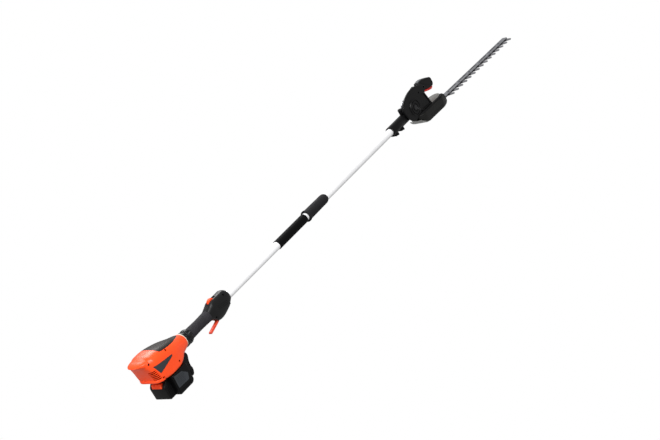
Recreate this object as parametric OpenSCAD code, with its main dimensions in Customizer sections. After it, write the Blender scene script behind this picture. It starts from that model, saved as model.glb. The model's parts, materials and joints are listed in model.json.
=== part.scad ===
// Battery pole hedge trimmer with an articulating cutter head.
// +X runs forward along the pole, +Z is up and +Y is the user's left.
// The origin is the middle of the battery's flat underside.

/* [Pole] */
// Height of the pole's axis above the battery's underside
axis_z = 92; // [90:1:98]
// Outer diameter of the aluminium pole
pole_d = 25.4; // [24:0.1:26.4]
// Wall of the pole
pole_wall = 1.5; // [1.2:0.1:2]
// Bare pole between the switch housing and the rear sleeve
bare_rear = 277; // [200:1:400]
// Length of the thin rear sleeve
sleeve_len = 163; // [100:1:220]
// Outer diameter of the thin rear sleeve
sleeve_d = 30; // [29:0.5:32]
// Bare ring of pole between the sleeve and the front grip
sleeve_gap = 9; // [4:1:20]
// Length of the front grip
foam_len = 119; // [90:1:150]
// Outer diameter of the front grip
foam_d = 35; // [33:0.5:38]
// Bare pole between the front grip and the head
bare_front = 443; // [300:1:600]
// Diameter of the drive shaft
shaft_d = 8; // [7:0.5:9]

/* [Motor housing] */
// Width of the motor housing
housing_w = 96; // [94:1:104]
// Top of the housing above the pole's axis
housing_up = 53; // [50:1:58]
// Underside of the housing below the pole's axis
housing_down = 30; // [29:0.5:30.5]
// Wall of the housing
wall = 3; // [2.5:0.1:3.4]
// Distance from the origin forward to the housing's front face
housing_front = 92; // [88:1:96]
// Length of the visor behind the rear wall
visor_len = 15; // [12:1:24]
// Width of one cooling slot
vent_w = 2.8; // [1.5:0.1:3]
// Spacing of the cooling slots
vent_pitch = 6; // [5:0.1:6.4]
// Cooling slots in the rear column
vent_count = 5; // [3:1:5]
// Outer diameter of the motor
motor_d = 37; // [33:1:37]

/* [Battery] */
// Width of the battery
battery_w = 96; // [90:1:98]
// Length of the battery's wide front part
battery_len = 66; // [60:1:68]
// Length of the narrow rear part that carries the latch
battery_tail = 24; // [20:1:28]
// Width of the narrow rear part
tail_w = 60; // [52:1:64]
// Height of the battery up to the housing
battery_h = 61; // [60:0.5:61.5]
// Width of the battery's rail
rail_w = 52; // [44:1:56]
// Height of the battery's rail
rail_h = 6; // [5:0.25:6]

/* [Rear handle] */
// Length of the collar in front of the housing
collar_len = 35; // [28:1:44]
// Outer diameter of the collar
collar_d = 45; // [42:1:48]
// Length of the rubber grip
grip_len = 91; // [80:1:110]
// Outer diameter of the rubber grip
grip_d = 34; // [33:0.5:36]
// How far the grip's centre lies below the pole's axis
grip_drop = 2; // [0:0.5:2.5]
// Ribs round the rubber grip
grip_ribs = 9; // [5:1:12]
// Length of the switch housing
switch_len = 102; // [98:1:112]
// Width of the switch housing
switch_w = 38; // [36:1:44]
// Length of the trigger behind its pin
trigger_len = 73; // [64:1:78]
// Thickness of the trigger's bar
trigger_t = 7; // [5:0.5:8]

/* [Cutter head] */
// Length of the tube that clamps the head to the pole
clamp_len = 99; // [80:1:120]
// Outer diameter of the clamp tube
clamp_d = 35; // [33:0.5:37]
// Radius of the knuckle on the end of the clamp tube
knuckle_r = 30; // [29:0.5:32]
// Width of the knuckle
knuckle_w = 28; // [27:0.5:30]
// Thickness of one side shell beside the knuckle
shell_t = 9; // [7:0.5:10]
// Depth of the index notches
notch_depth = 5; // [4:0.5:6]
// Angle between index notches
notch_step = 15; // [15:7.5:30]
// Height of the head's pivot above the pole's axis
pivot_rise = 12; // [11:0.5:13]
// Angle by which the cutter hangs below the pole's line
droop = 1.4; // [0:0.1:3]
// Width of the gear case
case_w = 66; // [64:1:72]
// Front of the gear case ahead of the pivot
case_front = 210; // [204:1:224]

/* [Cutter] */
// Length of the cutter in front of the gear case
cutter_len = 550; // [430:1:620]
// Width of the guide bar
bar_w = 23; // [20:0.5:26]
// Thickness of the guide bar
bar_t = 3; // [2.5:0.1:4]
// Thickness of one blade
blade_t = 2.4; // [2:0.1:3]
// Spacing of the blade teeth
tooth_pitch = 35; // [30:0.5:40]
// Length of a tooth beyond the guide bar
tooth_len = 19; // [14:0.5:22]
// Width of a tooth at its root
tooth_root = 19; // [14:0.5:22]
// Width of a tooth at its tip
tooth_tip = 7; // [4:0.5:9]
// Travel of each blade to either side of its middle place
blade_throw = 8; // [5:0.5:9]
// Spacing of the bolts along the guide bar
bolt_pitch = 86; // [70:1:110]
// Diameter of the blade bolts' bushes
bush_d = 8; // [7:0.5:9]

/* [Hidden] */
// Rest gap between pieces that move against each other
gap = 0.3;
// Radial clearance of a shaft in its bearing
run = 0.04;
// Diametral clearance of a round piece in a moulded seat
seat = 0.1;
// Overshoot of a cut past the face that it opens
over = 1;
// Steps round a full circle of a lofted section
loft_n = 36;

// Half sizes used all over the housing
hw = housing_w / 2;
bw = battery_w / 2;

// Stations along the pole
battery_x0 = -battery_len / 2;
battery_x1 = battery_len / 2;
tail_x0 = battery_x0 - battery_tail;
rear_x = tail_x0 - 33;
collar_x1 = housing_front + collar_len;
grip_x1 = collar_x1 + grip_len;
switch_x0 = grip_x1;
switch_x1 = switch_x0 + switch_len;
sleeve_x0 = switch_x1 + bare_rear;
sleeve_x1 = sleeve_x0 + sleeve_len;
foam_x0 = sleeve_x1 + sleeve_gap;
foam_x1 = foam_x0 + foam_len;
clamp_x0 = foam_x1 + bare_front;
clamp_x1 = clamp_x0 + clamp_len;
// The clamp tube ends in a flat neck where the wide sector of the head passes it
wing_reach = 75;
neck_x0 = clamp_x1 - 20;
pivot_x = neck_x0 + wing_reach + 2;

// The pole runs from its socket in the housing to its socket in the clamp tube
socket = 34;
pole_x0 = housing_front - socket;
pole_x1 = neck_x0 - 4;
pole_bore = pole_d - 2 * pole_wall;
bush_x = [pole_x0 + 130, (pole_x0 + pole_x1) / 2, pole_x1 - 60];
bush_len = 14;

// Housing sections: place, half width, top, bottom, squareness above and squareness below
housing_loft = [
  [rear_x - 1, 0.46 * hw, 0.93 * housing_up, 0.64 * housing_up, 2.4, 2.4],
  [rear_x + 5, 0.66 * hw, 0.97 * housing_up, 0.42 * housing_up, 2.6, 2.8],
  [rear_x + 15, 0.81 * hw, 1.01 * housing_up, -0.12 * housing_down, 2.8, 3.6],
  [rear_x + 20, 0.86 * hw, 1.02 * housing_up, -0.76 * housing_down, 2.9, 4.5],
  [rear_x + 31, 0.97 * hw, 1.04 * housing_up, -0.8 * housing_down, 3, 8],
  [rear_x + 50, hw, 1.04 * housing_up, -0.92 * housing_down, 3, 16],
  [rear_x + 74, hw, 0.99 * housing_up, -housing_down, 3, 18],
  [rear_x + 100, 0.97 * hw, 0.89 * housing_up, -housing_down, 2.9, 16],
  [rear_x + 125, 0.87 * hw, 0.77 * housing_up, -0.97 * housing_down, 2.7, 7],
  [rear_x + 148, 0.71 * hw, 0.62 * housing_up, -0.84 * housing_down, 2.5, 3],
  [housing_front - 10, 0.56 * hw, 0.49 * housing_up, -0.74 * housing_down, 2.3, 2.3],
  [housing_front, 0.49 * hw, 0.42 * housing_up, -0.67 * housing_down, 2.2, 2.2]
];
housing_last = len(housing_loft) - 1;

// The inner faces follow the outer ones, one wall further in
cavity_loft = [
  for (i = [1:housing_last - 2])
    let (s = housing_loft[i])
      [s[0] + (i <= 3 ? wall : 0), s[1] - wall, s[2] - wall, s[3] + wall, s[4], s[5]]
];

visor_loft = [
  [rear_x - visor_len, 0.16 * hw, 0.87 * housing_up, 0.83 * housing_up, 2.1, 2.1],
  [rear_x - 0.8 * visor_len, 0.32 * hw, 0.905 * housing_up, 0.77 * housing_up, 2.3, 2.3],
  [rear_x - 0.4 * visor_len, 0.48 * hw, 0.95 * housing_up, 0.68 * housing_up, 2.5, 2.5],
  [rear_x + 4, 0.6 * hw, 0.985 * housing_up, 0.56 * housing_up, 2.6, 2.6],
  [rear_x + 20, 0.7 * hw, 0.99 * housing_up, 0.45 * housing_up, 2.8, 2.8]
];

// Slanting edge of the black cover on top of the housing
cover_x0 = rear_x + 64;
cover_z0 = 0.86 * housing_up;
cover_z1 = 0.46 * housing_up;

// Motor, bearings and fan on the pole's axis
bearing_d = 2 * shaft_d;
bearing_w = 5;
rear_bearing_x = rear_x + 33;
stator_x0 = rear_bearing_x + bearing_w + 4;
stator_len = 48;
stator_x1 = stator_x0 + stator_len;
rotor_d = motor_d * 0.54;
fan_x0 = stator_x1 + 2;
fan_len = 8;
fan_d = motor_d - 2;
front_bearing_x = fan_x0 + fan_len + 7;
coupling_x0 = front_bearing_x + bearing_w + 1;
coupling_x1 = pole_x0 - 1;
shaft_join = (coupling_x0 + coupling_x1) / 2;
bulk_t = 4;

// Screws that hold the two halves of the housing: place and height
housing_screws_at = [
  [rear_x + 84, 0.7 * housing_up],
  [rear_x + 15, 0.72 * housing_up],
  [battery_x1 - 16, -0.5 * housing_down],
  [rear_x + 33, -0.56 * housing_down]
];
screw_d = 3.5;
screw_head_d = 7;
boss_d = 10;
screw_seat_y = 17 - hw;

// Battery bay
bay_top = -housing_down + rail_h + gap;
bay_floor = 2.4;
guard_x0 = battery_x1 + gap;

// Switch housing sections
sw = switch_w / 2;
switch_loft = [
  [switch_x0, 0.86 * sw, 16, -19, 2.3, 2.3],
  [switch_x0 + 14, 0.94 * sw, 22, -25, 2.5, 2.5],
  [switch_x0 + 28, sw, 28, -36, 2.8, 2.8],
  [switch_x0 + 42, sw, 29, -38, 2.8, 2.8],
  [switch_x1 - 18, sw, 29, -27, 2.8, 2.8],
  [switch_x1 - 7, 0.94 * sw, 25, -19, 2.5, 2.5],
  [switch_x1, 0.8 * sw, 17, -15, 2.3, 2.3]
];
trigger_pin = [switch_x0 + 50, -25];
trigger_slope = 14;
trigger_w = 13;
trigger_slot_w = trigger_w + 2 * gap;
lock_pin = [switch_x0 + 50, 19];
lock_w = 10;
lock_len = 27;
pin_d = 4;
handle_screws_at = [[switch_x0 + 16, -17.8], [switch_x1 - 13, -17.6], [switch_x1 - 25, 19.5]];

// Head, in its own frame with the pivot at the origin
index_r = knuckle_r + 4;
left_r = index_r - 12;
half_k = knuckle_w / 2;
shell_y0 = half_k + gap;
shell_y1 = shell_y0 + shell_t;
pivot_d = 12;
index_t = 3.5;
index_y0 = half_k - index_t;
fold_up = 90;
fold_down = 45;
miter_r = 9;
miter_face = 4;
chamber_r = miter_r + 9;
chamber_y0 = -miter_r - 1.4;
chamber_y1 = miter_r + 0.7;
pawl_angle = notch_step;
pawl_w = 5;
pawl_y0 = half_k - index_t / 2 - 2.5;
pawl_r0 = index_r + gap;
pawl_r1 = pawl_r0 + 36;
pawl_lift = 4;
case_top = -32;
// Outline of the left shell and of the web between the shells
web_pts = concat(
  arc_pts(0, 0, left_r, 75, 245, 20),
  [[10, case_top], [107, case_top], [86, 18], [99, 27], [99, 42], [86, 47], [60, 42], [38, 30]]
);
// Outline of the wide sector on the right, whose rim is one long arc
sector_pts = concat(
  arc_pts(25, -85, 147, 75, 126, 20),
  [[-68, 26], [-70.5, 17], [-66, 2], [-55, -17], [-40, -32], [-20, -44]],
  [[10, case_top], [107, case_top], [86, 18], [99, 27], [98, 40], [84, 51]]
);
// Sunk panel in the face of the sector
panel_pts = [[42, 13], [38, -25], [97, -27], [79, 17], [58, 26]];
panel_depth = 2.5;
boss_r = -case_top - 1;
handle_x0 = 88;
handle_x1 = 171;
lever_pin = [91, 21];
lever_len = 78;
lever_w = 10;

// Gear case and crank
crank_x = 76;
crown_r = 17;
crown_pinion_r = 8;
bar_top = -55;
case_split = bar_top;
case_bottom = -74;
case_rear = 6;
case_wall = 3.5;
case_chamfer = 6;
cap_t = 6;
bar_z = bar_top - bar_t;
upper_z = bar_z - gap / 2 - blade_t;
lower_z = upper_z - gap / 2 - blade_t;
crank_pin_r = 6;
crank_d = 10;
crank_sweep = blade_throw + crank_pin_r + gap;

// Cutter
bar_x0 = 112;
bar_x1 = case_front + cutter_len - 12;
cutter_x1 = case_front + cutter_len;
blade_x0 = crank_x - crank_sweep - blade_throw - 8;
blade_back = bar_w / 2 - 3;
tooth_tip_y = -bar_w / 2 - tooth_len;
tooth_x0 = case_front + 22;
tooth_count = floor((cutter_x1 - 16 - tooth_x0) / tooth_pitch) + 1;
bolt_count = floor((bar_x1 - 14 - bolt_x0()) / bolt_pitch) + 1;
washer_t = 1.6;
nut_t = 4;
case_bolts_at = [[148, 0], [case_front - 22, 0]];

function bolt_x0() = case_front + 46;

function arc_pts(cx, cy, r, a0, a1, n) =
  [for (i = [0:n]) let (a = a0 + (a1 - a0) * i / n) [cx + r * cos(a), cy + r * sin(a)]];

// A round power keeps the sign of its base
function spow(v, p) = sign(v) * pow(abs(v), p);

function section(s, n) =
  [for (i = [0:n - 1])
    let (a = 360 * i / n, zc = (s[2] + s[3]) / 2, h = (s[2] - s[3]) / 2, q = a < 180 ? s[4] : s[5])
      [s[0], s[1] * spow(cos(a), 2 / q), zc + h * spow(sin(a), 2 / q)]];

// Solid skinned over super-elliptic sections that are strung along X
module loft(stations, n = loft_n) {
  last = len(stations) - 1;
  ring = [for (s = stations) each section(s, n)];
  ends = [
    [stations[0][0], 0, (stations[0][2] + stations[0][3]) / 2],
    [stations[last][0], 0, (stations[last][2] + stations[last][3]) / 2]
  ];
  c0 = len(ring);
  sides = [
    for (k = [0:last - 1], i = [0:n - 1])
      let (a = k * n + i, b = k * n + (i + 1) % n)
        each [[a, a + n, b], [b, a + n, b + n]]
  ];
  rear = [for (i = [0:n - 1]) [c0, i, (i + 1) % n]];
  front = [for (i = [0:n - 1]) [c0 + 1, last * n + (i + 1) % n, last * n + i]];
  polyhedron(points = concat(ring, ends), faces = concat(sides, rear, front), convexity = 6);
}

module on_axis() translate([0, 0, axis_z]) children();

module on_pivot() translate([pivot_x, 0, axis_z + pivot_rise]) children();

module on_head() on_pivot() rotate([0, droop, 0]) children();

module xcyl(x0, x1, d) {
  translate([x0, 0, 0]) rotate([0, 90, 0]) cylinder(h = x1 - x0, d = d, $fn = 64);
}

module ycyl(x, z, y0, y1, d) {
  translate([x, y0, z]) rotate([-90, 0, 0]) cylinder(h = y1 - y0, d = d, $fn = 48);
}

module xtube(x0, x1, od, id) {
  difference() {
    xcyl(x0, x1, od);
    xcyl(x0 - over, x1 + over, id);
  }
}

// Plate in the XZ plane between two places across the tool
module slab(pts, y0, y1) {
  translate([0, y1, 0]) rotate([90, 0, 0]) linear_extrude(y1 - y0) polygon(pts);
}

// Keeps the left half for side 1 and the right half for side -1
module half_of(side, x0, x1, reach) {
  intersection() {
    children();
    translate([x0, side > 0 ? 0 : -reach, -reach]) cube([x1 - x0, reach, 2 * reach]);
  }
}

// ---- Motor housing ----

module cover_zone(clear) {
  slab([
    [cover_x0 - clear, cover_z0 - clear],
    [housing_front + over, cover_z1 - clear],
    [housing_front + over, housing_up + 20],
    [cover_x0 - clear, housing_up + 20]
  ], -hw - 20, hw + 20);
}

// Rim round the foot of the rear wall
module lip() {
  rear = rear_x + 14;
  side = hw + 0.4;
  r = 26;
  translate([0, 0, -0.8 * housing_down])
    linear_extrude(7)
      polygon(concat(
        arc_pts(rear + r, side - r, r, 90, 180, 8),
        arc_pts(rear + r, r - side, r, 180, 270, 8),
        [[rear + 44, 2 - side], [rear + 44, side - 2]]
      ));
}

module bulkhead(x, t, bore) {
  difference() {
    translate([x, -hw, -housing_down - 10]) cube([t, housing_w, housing_down + housing_up + 20]);
    xcyl(x - over, x + t + over, bore);
  }
}

module housing_cavity() {
  difference() {
    loft(cavity_loft);
    translate([rear_x, -rail_w / 2 - gap - bay_floor, -housing_down - over])
      cube([
        battery_x1 + gap + bay_floor - rear_x,
        rail_w + 2 * (gap + bay_floor),
        bay_top + housing_down + bay_floor + over
      ]);
    bulkhead(rear_bearing_x, bearing_w, bearing_d);
    bulkhead(stator_x0 + 4, bulk_t, motor_d);
    bulkhead(stator_x1 - 4 - bulk_t, bulk_t, motor_d);
    bulkhead(front_bearing_x, bearing_w, bearing_d);
    for (p = housing_screws_at) ycyl(p[0], p[1], -hw - over, hw + over, boss_d);
  }
}

// Two stepped columns of cooling slots in each rear corner
module vents() {
  for (side = [-1, 1], col = [0, 1], i = [0:vent_count - 1])
    mirror([0, side < 0 ? 1 : 0, 0])
      translate([rear_x + 8 + 15 * col, 22, 0.4 * housing_up - i * vent_pitch - 7 * col])
        cube([12, hw - 22 + over, vent_w]);
}

module housing_body() {
  difference() {
    union() {
      loft(housing_loft);
      loft(visor_loft);
      lip();
    }
    housing_cavity();
    cover_zone(gap / 2);
    vents();
    xcyl(pole_x0 - 4, housing_front + over, pole_d);
    xcyl(coupling_x0 - over, pole_x0, pole_d - 4);
    battery_rail_space();
    terminal_base();
  }
}

// Housing shape with its sides moved in by the given depth
module sunk(depth) loft([for (s = housing_loft) [s[0], s[1] - depth, s[2], s[3], s[4], s[5]]]);

label_pts = [[rear_x + 20, 27], [rear_x + 94, 18], [rear_x + 92, 12], [rear_x + 31, -2]];
label_depth = 2;

module label_space() {
  difference() {
    slab(label_pts, -hw - 5, -hw / 2);
    sunk(label_depth);
  }
}

module housing_half(side) {
  difference() {
    half_of(side, rear_x - 60, housing_front + 20, 140) housing_body();
    if (side < 0) label_space();
    for (p = housing_screws_at) {
      ycyl(p[0], p[1], -hw - 10, hw - 14, screw_d);
      if (side < 0) ycyl(p[0], p[1], -hw - 10, screw_seat_y, screw_head_d);
    }
  }
}

module housing_left() color("orangered") on_axis() housing_half(1);

module housing_right() color("orangered") on_axis() housing_half(-1);

module housing_screws() {
  color("dimgray") on_axis() for (p = housing_screws_at) {
    ycyl(p[0], p[1], screw_seat_y, 12, screw_d);
    difference() {
      ycyl(p[0], p[1], screw_seat_y - 4, screw_seat_y, screw_head_d);
      translate([p[0], screw_seat_y - 5, p[1]]) rotate([-90, 0, 0]) cylinder(h = 3, d = 3.6, $fn = 6);
    }
  }
}

module top_cover() {
  color([0.09, 0.09, 0.1]) on_axis() difference() {
    intersection() {
      loft(housing_loft);
      cover_zone(0);
    }
    difference() {
      loft(cavity_loft);
      for (p = housing_screws_at) ycyl(p[0], p[1], -hw, hw, boss_d);
    }
    xcyl(pole_x0 - 4, housing_front + over, pole_d);
    for (p = housing_screws_at) ycyl(p[0], p[1], -hw, hw, boss_d + gap);
  }
}

module label_plate() {
  color([0.12, 0.12, 0.13]) on_axis() intersection() {
    label_space();
    sunk(label_depth - 1.2);
  }
}

module motor_stator() {
  color("slategray") on_axis() difference() {
    xcyl(stator_x0, stator_x1, motor_d);
    xcyl(stator_x0 - over, stator_x1 + over, rotor_d + 1);
    for (a = [0:60:300]) rotate([a, 0, 0])
      translate([stator_x0 - over, rotor_d / 2 + 0.3 * motor_d / 2 - 3, -2])
        cube([stator_len + 2 * over, 4, 4]);
  }
}

module motor_rotor() {
  color("silver") on_axis() {
    xcyl(rear_bearing_x - 2, shaft_join, shaft_d);
    xcyl(stator_x0 + 3, stator_x1 - 3, rotor_d);
  }
}

module cooling_fan() {
  blades = 9;
  color([0.2, 0.2, 0.22]) on_axis() difference() {
    union() {
      xcyl(fan_x0, fan_x0 + 2, fan_d);
      xcyl(fan_x0, fan_x0 + fan_len, shaft_d + 8);
      for (i = [0:blades - 1]) rotate([i * 360 / blades, 0, 0])
        translate([fan_x0, shaft_d / 2 + 2, -0.9])
          cube([fan_len, fan_d / 2 - shaft_d / 2 - 3, 1.8]);
    }
    xcyl(fan_x0 - over, fan_x0 + fan_len + over, shaft_d);
  }
}

module motor_bearings() {
  color("gainsboro") on_axis() for (x = [rear_bearing_x, front_bearing_x])
    xtube(x, x + bearing_w, bearing_d, shaft_d + 2 * run);
}

module shaft_coupling() {
  color("darkgray") on_axis() xtube(coupling_x0, coupling_x1, shaft_d + 6, shaft_d);
}

module drive_shaft() {
  color("silver") on_axis() xcyl(shaft_join, offset_x0, shaft_d);
}

module shaft_bushes() {
  color("wheat") on_axis() for (x = bush_x) xtube(x, x + bush_len, pole_bore, shaft_d + 2 * run);
}

module controller_board() {
  z0 = motor_d / 2;
  color("darkgreen") on_axis() {
    translate([stator_x0 + 10, -24, z0]) cube([stator_len - 20, 48, 3]);
    for (x = [14, 26]) translate([stator_x0 + x, -18, z0 + 3]) cube([8, 36, 8]);
  }
}

// ---- Battery ----

module battery_rail_space() {
  translate([rear_x - 20, -rail_w / 2 - gap, -housing_down - 10])
    cube([battery_x1 + gap - rear_x + 20, rail_w + 2 * gap, 10 + rail_h + gap]);
}

module terminal_base() {
  translate([battery_x1 + gap, -22, -housing_down + 1]) cube([4, 44, rail_h - 2]);
}

module battery_case() {
  c = 8;
  color([0.11, 0.11, 0.12]) difference() {
    union() {
      intersection() {
        translate([battery_x0, -bw, 0]) cube([battery_len, battery_w, battery_h]);
        slab([
          [battery_x0, 0], [battery_x1 - c, 0], [battery_x1, c], [battery_x1, battery_h],
          [battery_x0, battery_h]
        ], -bw, bw);
        translate([battery_x0 - over, 0, 0]) rotate([90, 0, 90]) linear_extrude(battery_len + 2 * over)
          polygon([[-bw, 3], [3 - bw, 0], [bw - 3, 0], [bw, 3], [bw, battery_h], [-bw, battery_h]]);
      }
      slab([
        [tail_x0, 3], [battery_x0 + over, 3], [battery_x0 + over, battery_h],
        [tail_x0 + 16, battery_h], [tail_x0 - 3, 0.68 * battery_h]
      ], -tail_w / 2, tail_w / 2);
      translate([tail_x0 + 16, -rail_w / 2, battery_h - over])
        cube([battery_x1 - tail_x0 - 16, rail_w, axis_z - housing_down + rail_h - battery_h + over]);
    }
    battery_panel_cuts(0);
    latch_space();
    // Slots for the contact blades, open to the front of the rail
    for (y = [-15, -5, 5, 15])
      translate([battery_x1 - 22, y - 1.5, axis_z - housing_down]) cube([22 + over, 3, rail_h + over]);
    // Grip flutes on each side of the tail
    for (s = [-1, 1], i = [0:3])
      translate([tail_x0 + 5 + 5 * i, s * tail_w / 2, -over]) cylinder(h = 40, d = 3, $fn = 24);
  }
}

module battery_panel_cuts(clear) {
  for (s = [-1, 1])
    mirror([0, s < 0 ? 1 : 0, 0])
      slab([
        [battery_x0 + 4 - clear, 20 - clear], [battery_x1 - 17, 18 - clear], [battery_x1 - 10 + clear, 36],
        [battery_x1 - 28, 52 + clear], [battery_x0 + 4 - clear, 57 + clear]
      ], bw - 1.5 + clear, bw + over);
}

module battery_panels() {
  color([0.22, 0.24, 0.26]) intersection() {
    difference() {
      battery_panel_cuts(0);
      for (s = [-1, 1], i = [0:5])
        translate([battery_x0 + 10, s * (bw + 0.2) - 0.6, 24 + 4.5 * i]) cube([28, 1.2, 1.6]);
    }
    translate([battery_x0, -bw, 0]) cube([battery_len, battery_w, battery_h]);
  }
}

latch_w = 38;
latch_z0 = 40;
latch_h = 12;
latch_travel = 3;

module latch_space() {
  translate([tail_x0 - 10, -latch_w / 2 - gap, latch_z0 - gap])
    cube([22, latch_w + 2 * gap, latch_h + 2 * gap]);
}

module battery_latch() {
  color("orangered") slab([
    [tail_x0 - 4, latch_z0], [tail_x0 + 12 - latch_travel - gap, latch_z0],
    [tail_x0 + 12 - latch_travel - gap, latch_z0 + latch_h], [tail_x0 - 1, latch_z0 + latch_h]
  ], -latch_w / 2, latch_w / 2);
}

module battery_guard() {
  z0 = 0.16 * axis_z;
  z1 = axis_z - 0.8 * housing_down;
  color([0.08, 0.08, 0.09]) difference() {
    intersection() {
      slab([
        [guard_x0, z0], [guard_x0 + 8, z0 + 3], [guard_x0 + 13, z0 + 14], [guard_x0 + 14, z0 + 25],
        [housing_front - 19, z1 - 8], [housing_front - 18, z1 + 2], [guard_x0, z1 + 6]
      ], -bw, bw);
      rotate([90, 0, 90]) linear_extrude(housing_front)
        polygon([
          [-bw, z0], [bw, z0], [bw, 0.36 * axis_z], [bw - 9, 0.47 * axis_z], [15, z1 + 4],
          [-15, z1 + 4], [9 - bw, 0.47 * axis_z], [-bw, 0.36 * axis_z]
        ]);
    }
    on_axis() loft([
      for (s = housing_loft)
        [s[0], s[1], s[2], s[3] - (s[0] < battery_x1 ? 8 : 0), s[4], s[5]]
    ]);
    on_axis() lip();
    on_axis() terminal_base();
  }
}

module terminal_block() {
  color("goldenrod") on_axis() {
    for (y = [-15, -5, 5, 15])
      translate([battery_x1 - 16, y - 0.6, -housing_down + 1.5]) cube([16 + gap, 1.2, rail_h - 3]);
    terminal_base();
  }
}

// ---- Rear handle ----

module collar() {
  lobes = 8;
  r = collar_d / 2;
  color([0.1, 0.1, 0.11]) on_axis() difference() {
    translate([housing_front, 0, -grip_drop]) rotate([0, 90, 0]) rotate_extrude($fn = 64)
      polygon([
        [0, 0], [r - 3, 0], [r - 2, 2], [r, 4], [r, 0.36 * collar_len], [r - 2.5, 0.43 * collar_len],
        [r - 2.5, 0.5 * collar_len], [r, 0.57 * collar_len], [r, 0.8 * collar_len], [r - 4, collar_len],
        [0, collar_len]
      ]);
    xcyl(housing_front - over, collar_x1 + over, pole_d);
    translate([0, 0, -grip_drop]) for (i = [0:lobes - 1]) rotate([i * 360 / lobes, 0, 0])
      translate([0, 0, r + 2.4]) xcyl(housing_front + 4, collar_x1 + over, 9);
  }
}

module rubber_grip() {
  step = grip_len / (grip_ribs + 1);
  r = grip_d / 2;
  color([0.2, 0.2, 0.21]) on_axis() difference() {
    translate([collar_x1, 0, -grip_drop]) rotate([0, 90, 0]) rotate_extrude($fn = 64)
      polygon(concat(
        [[0, 0], [r, 0]],
        [for (i = [1:grip_ribs]) each [
          [r, i * step - 2], [r - 1, i * step - 1], [r - 1, i * step + 1], [r, i * step + 2]
        ]],
        [[r, grip_len], [0, grip_len]]
      ));
    xcyl(collar_x1 - over, grip_x1 + over, pole_d);
  }
}

module switch_body() {
  difference() {
    loft(switch_loft);
    xcyl(switch_x0 - over, switch_x1 + over, pole_d);
    // Room for the trigger, open below and to the rear
    slab([
      [switch_x0 - over, -14], [switch_x0 + 64, -14], [switch_x0 + 64, -31],
      [switch_x0 + 40, -60], [switch_x0 - over, -60]
    ], -trigger_slot_w / 2, trigger_slot_w / 2);
    // Room for the power switch
    translate([switch_x0 + 66, -6, -26]) cube([20, 12, 26 - pole_d / 2]);
    // Room for the lock-off lever, open on top
    translate([lock_pin[0] - lock_len - 3, -lock_w / 2 - gap, pole_d / 2 + 0.8])
      cube([lock_len + 11, lock_w + 2 * gap, 30]);
  }
}

module switch_half(side) {
  difference() {
    half_of(side, switch_x0 - 10, switch_x1 + 10, 60) switch_body();
    ycyl(trigger_pin[0], trigger_pin[1], -12, 12, pin_d);
    ycyl(lock_pin[0], lock_pin[1], -12, 12, pin_d);
    for (p = handle_screws_at) {
      ycyl(p[0], p[1], -sw - 10, 10, screw_d);
      if (side < 0) ycyl(p[0], p[1], -sw - 10, -10, 6.5);
    }
  }
}

module switch_housing_left() color([0.1, 0.1, 0.11]) on_axis() switch_half(1);

module switch_housing_right() color([0.1, 0.1, 0.11]) on_axis() switch_half(-1);

module handle_screws() {
  color("dimgray") on_axis() for (p = handle_screws_at) {
    ycyl(p[0], p[1], -10, 10, screw_d);
    difference() {
      ycyl(p[0], p[1], -13, -10, 6.5);
      translate([p[0], -14, p[1]]) rotate([-90, 0, 0]) cylinder(h = 2.5, d = 3.4, $fn = 6);
    }
  }
}

module handle_pins() {
  color("lightgray") on_axis() {
    ycyl(trigger_pin[0], trigger_pin[1], -12, 12, pin_d);
    ycyl(lock_pin[0], lock_pin[1], -12, 12, pin_d);
  }
}

module trigger() {
  t = trigger_t;
  color([0.72, 0.16, 0.1]) on_axis() translate([trigger_pin[0], 0, trigger_pin[1]]) difference() {
    rotate([0, -trigger_slope, 0])
      slab(concat(
        arc_pts(0, 0, 6, -90, 90, 10),
        [[-18, 5], [-30, -1], [-trigger_len + 8, -3]],
        arc_pts(-trigger_len + t / 2, -3 - t / 2, t / 2, 90, 270, 8),
        [[-30, -2 - t], [-18, -t]]
      ), -trigger_w / 2, trigger_w / 2);
    ycyl(0, 0, -20, 20, pin_d + 2 * run);
  }
}

module lock_off_lever() {
  color([0.95, 0.33, 0.12]) on_axis() translate([lock_pin[0], 0, lock_pin[1]]) difference() {
    slab(concat(
      arc_pts(0, 0, 4.4, -90, 60, 8),
      [[-6, 13], [-14, 15.5], [-24, 12], [-lock_len, 4], [-lock_len + 3, -1], [-8, -2.5]]
    ), -lock_w / 2, lock_w / 2);
    ycyl(0, 0, -20, 20, pin_d + 2 * run);
  }
}

module power_switch() {
  color("black") on_axis() translate([switch_x0 + 66, -6, -26]) cube([20, 12, 26 - pole_d / 2 - 0.2]);
}

// ---- Pole ----

module pole_tube() {
  color("whitesmoke") on_axis() xtube(pole_x0, pole_x1, pole_d, pole_bore);
}

module pole_sleeve() {
  color([0.1, 0.1, 0.11]) on_axis() difference() {
    union() {
      xcyl(sleeve_x0 + 3, sleeve_x1, sleeve_d);
      translate([sleeve_x0, 0, 0]) rotate([0, 90, 0])
        cylinder(h = 3, d1 = sleeve_d - 3, d2 = sleeve_d, $fn = 64);
    }
    xcyl(sleeve_x0 - over, sleeve_x1 + over, pole_d);
  }
}

module front_grip() {
  r = foam_d / 2;
  color([0.12, 0.12, 0.13]) on_axis() difference() {
    translate([foam_x0, 0, 0]) rotate([0, 90, 0]) rotate_extrude($fn = 72)
      polygon(concat(
        [[0, 0], [r + 1, 0], [r + 2, 1], [r + 2, 5], [r, 9], [r - 1, foam_len - 12]],
        arc_pts(r - 7, foam_len - 6, 6, 0, 90, 8),
        [[0, foam_len]]
      ));
    xcyl(foam_x0 - over, foam_x1 + over, pole_d);
  }
}

// ---- Clamp tube and knuckle ----

clamp_bolts_at = [clamp_x0 + 0.24 * clamp_len, clamp_x0 + 0.63 * clamp_len];
lug_h = 9;
knob_x = pivot_x - 56;
knob_screw_d = 6;

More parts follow.
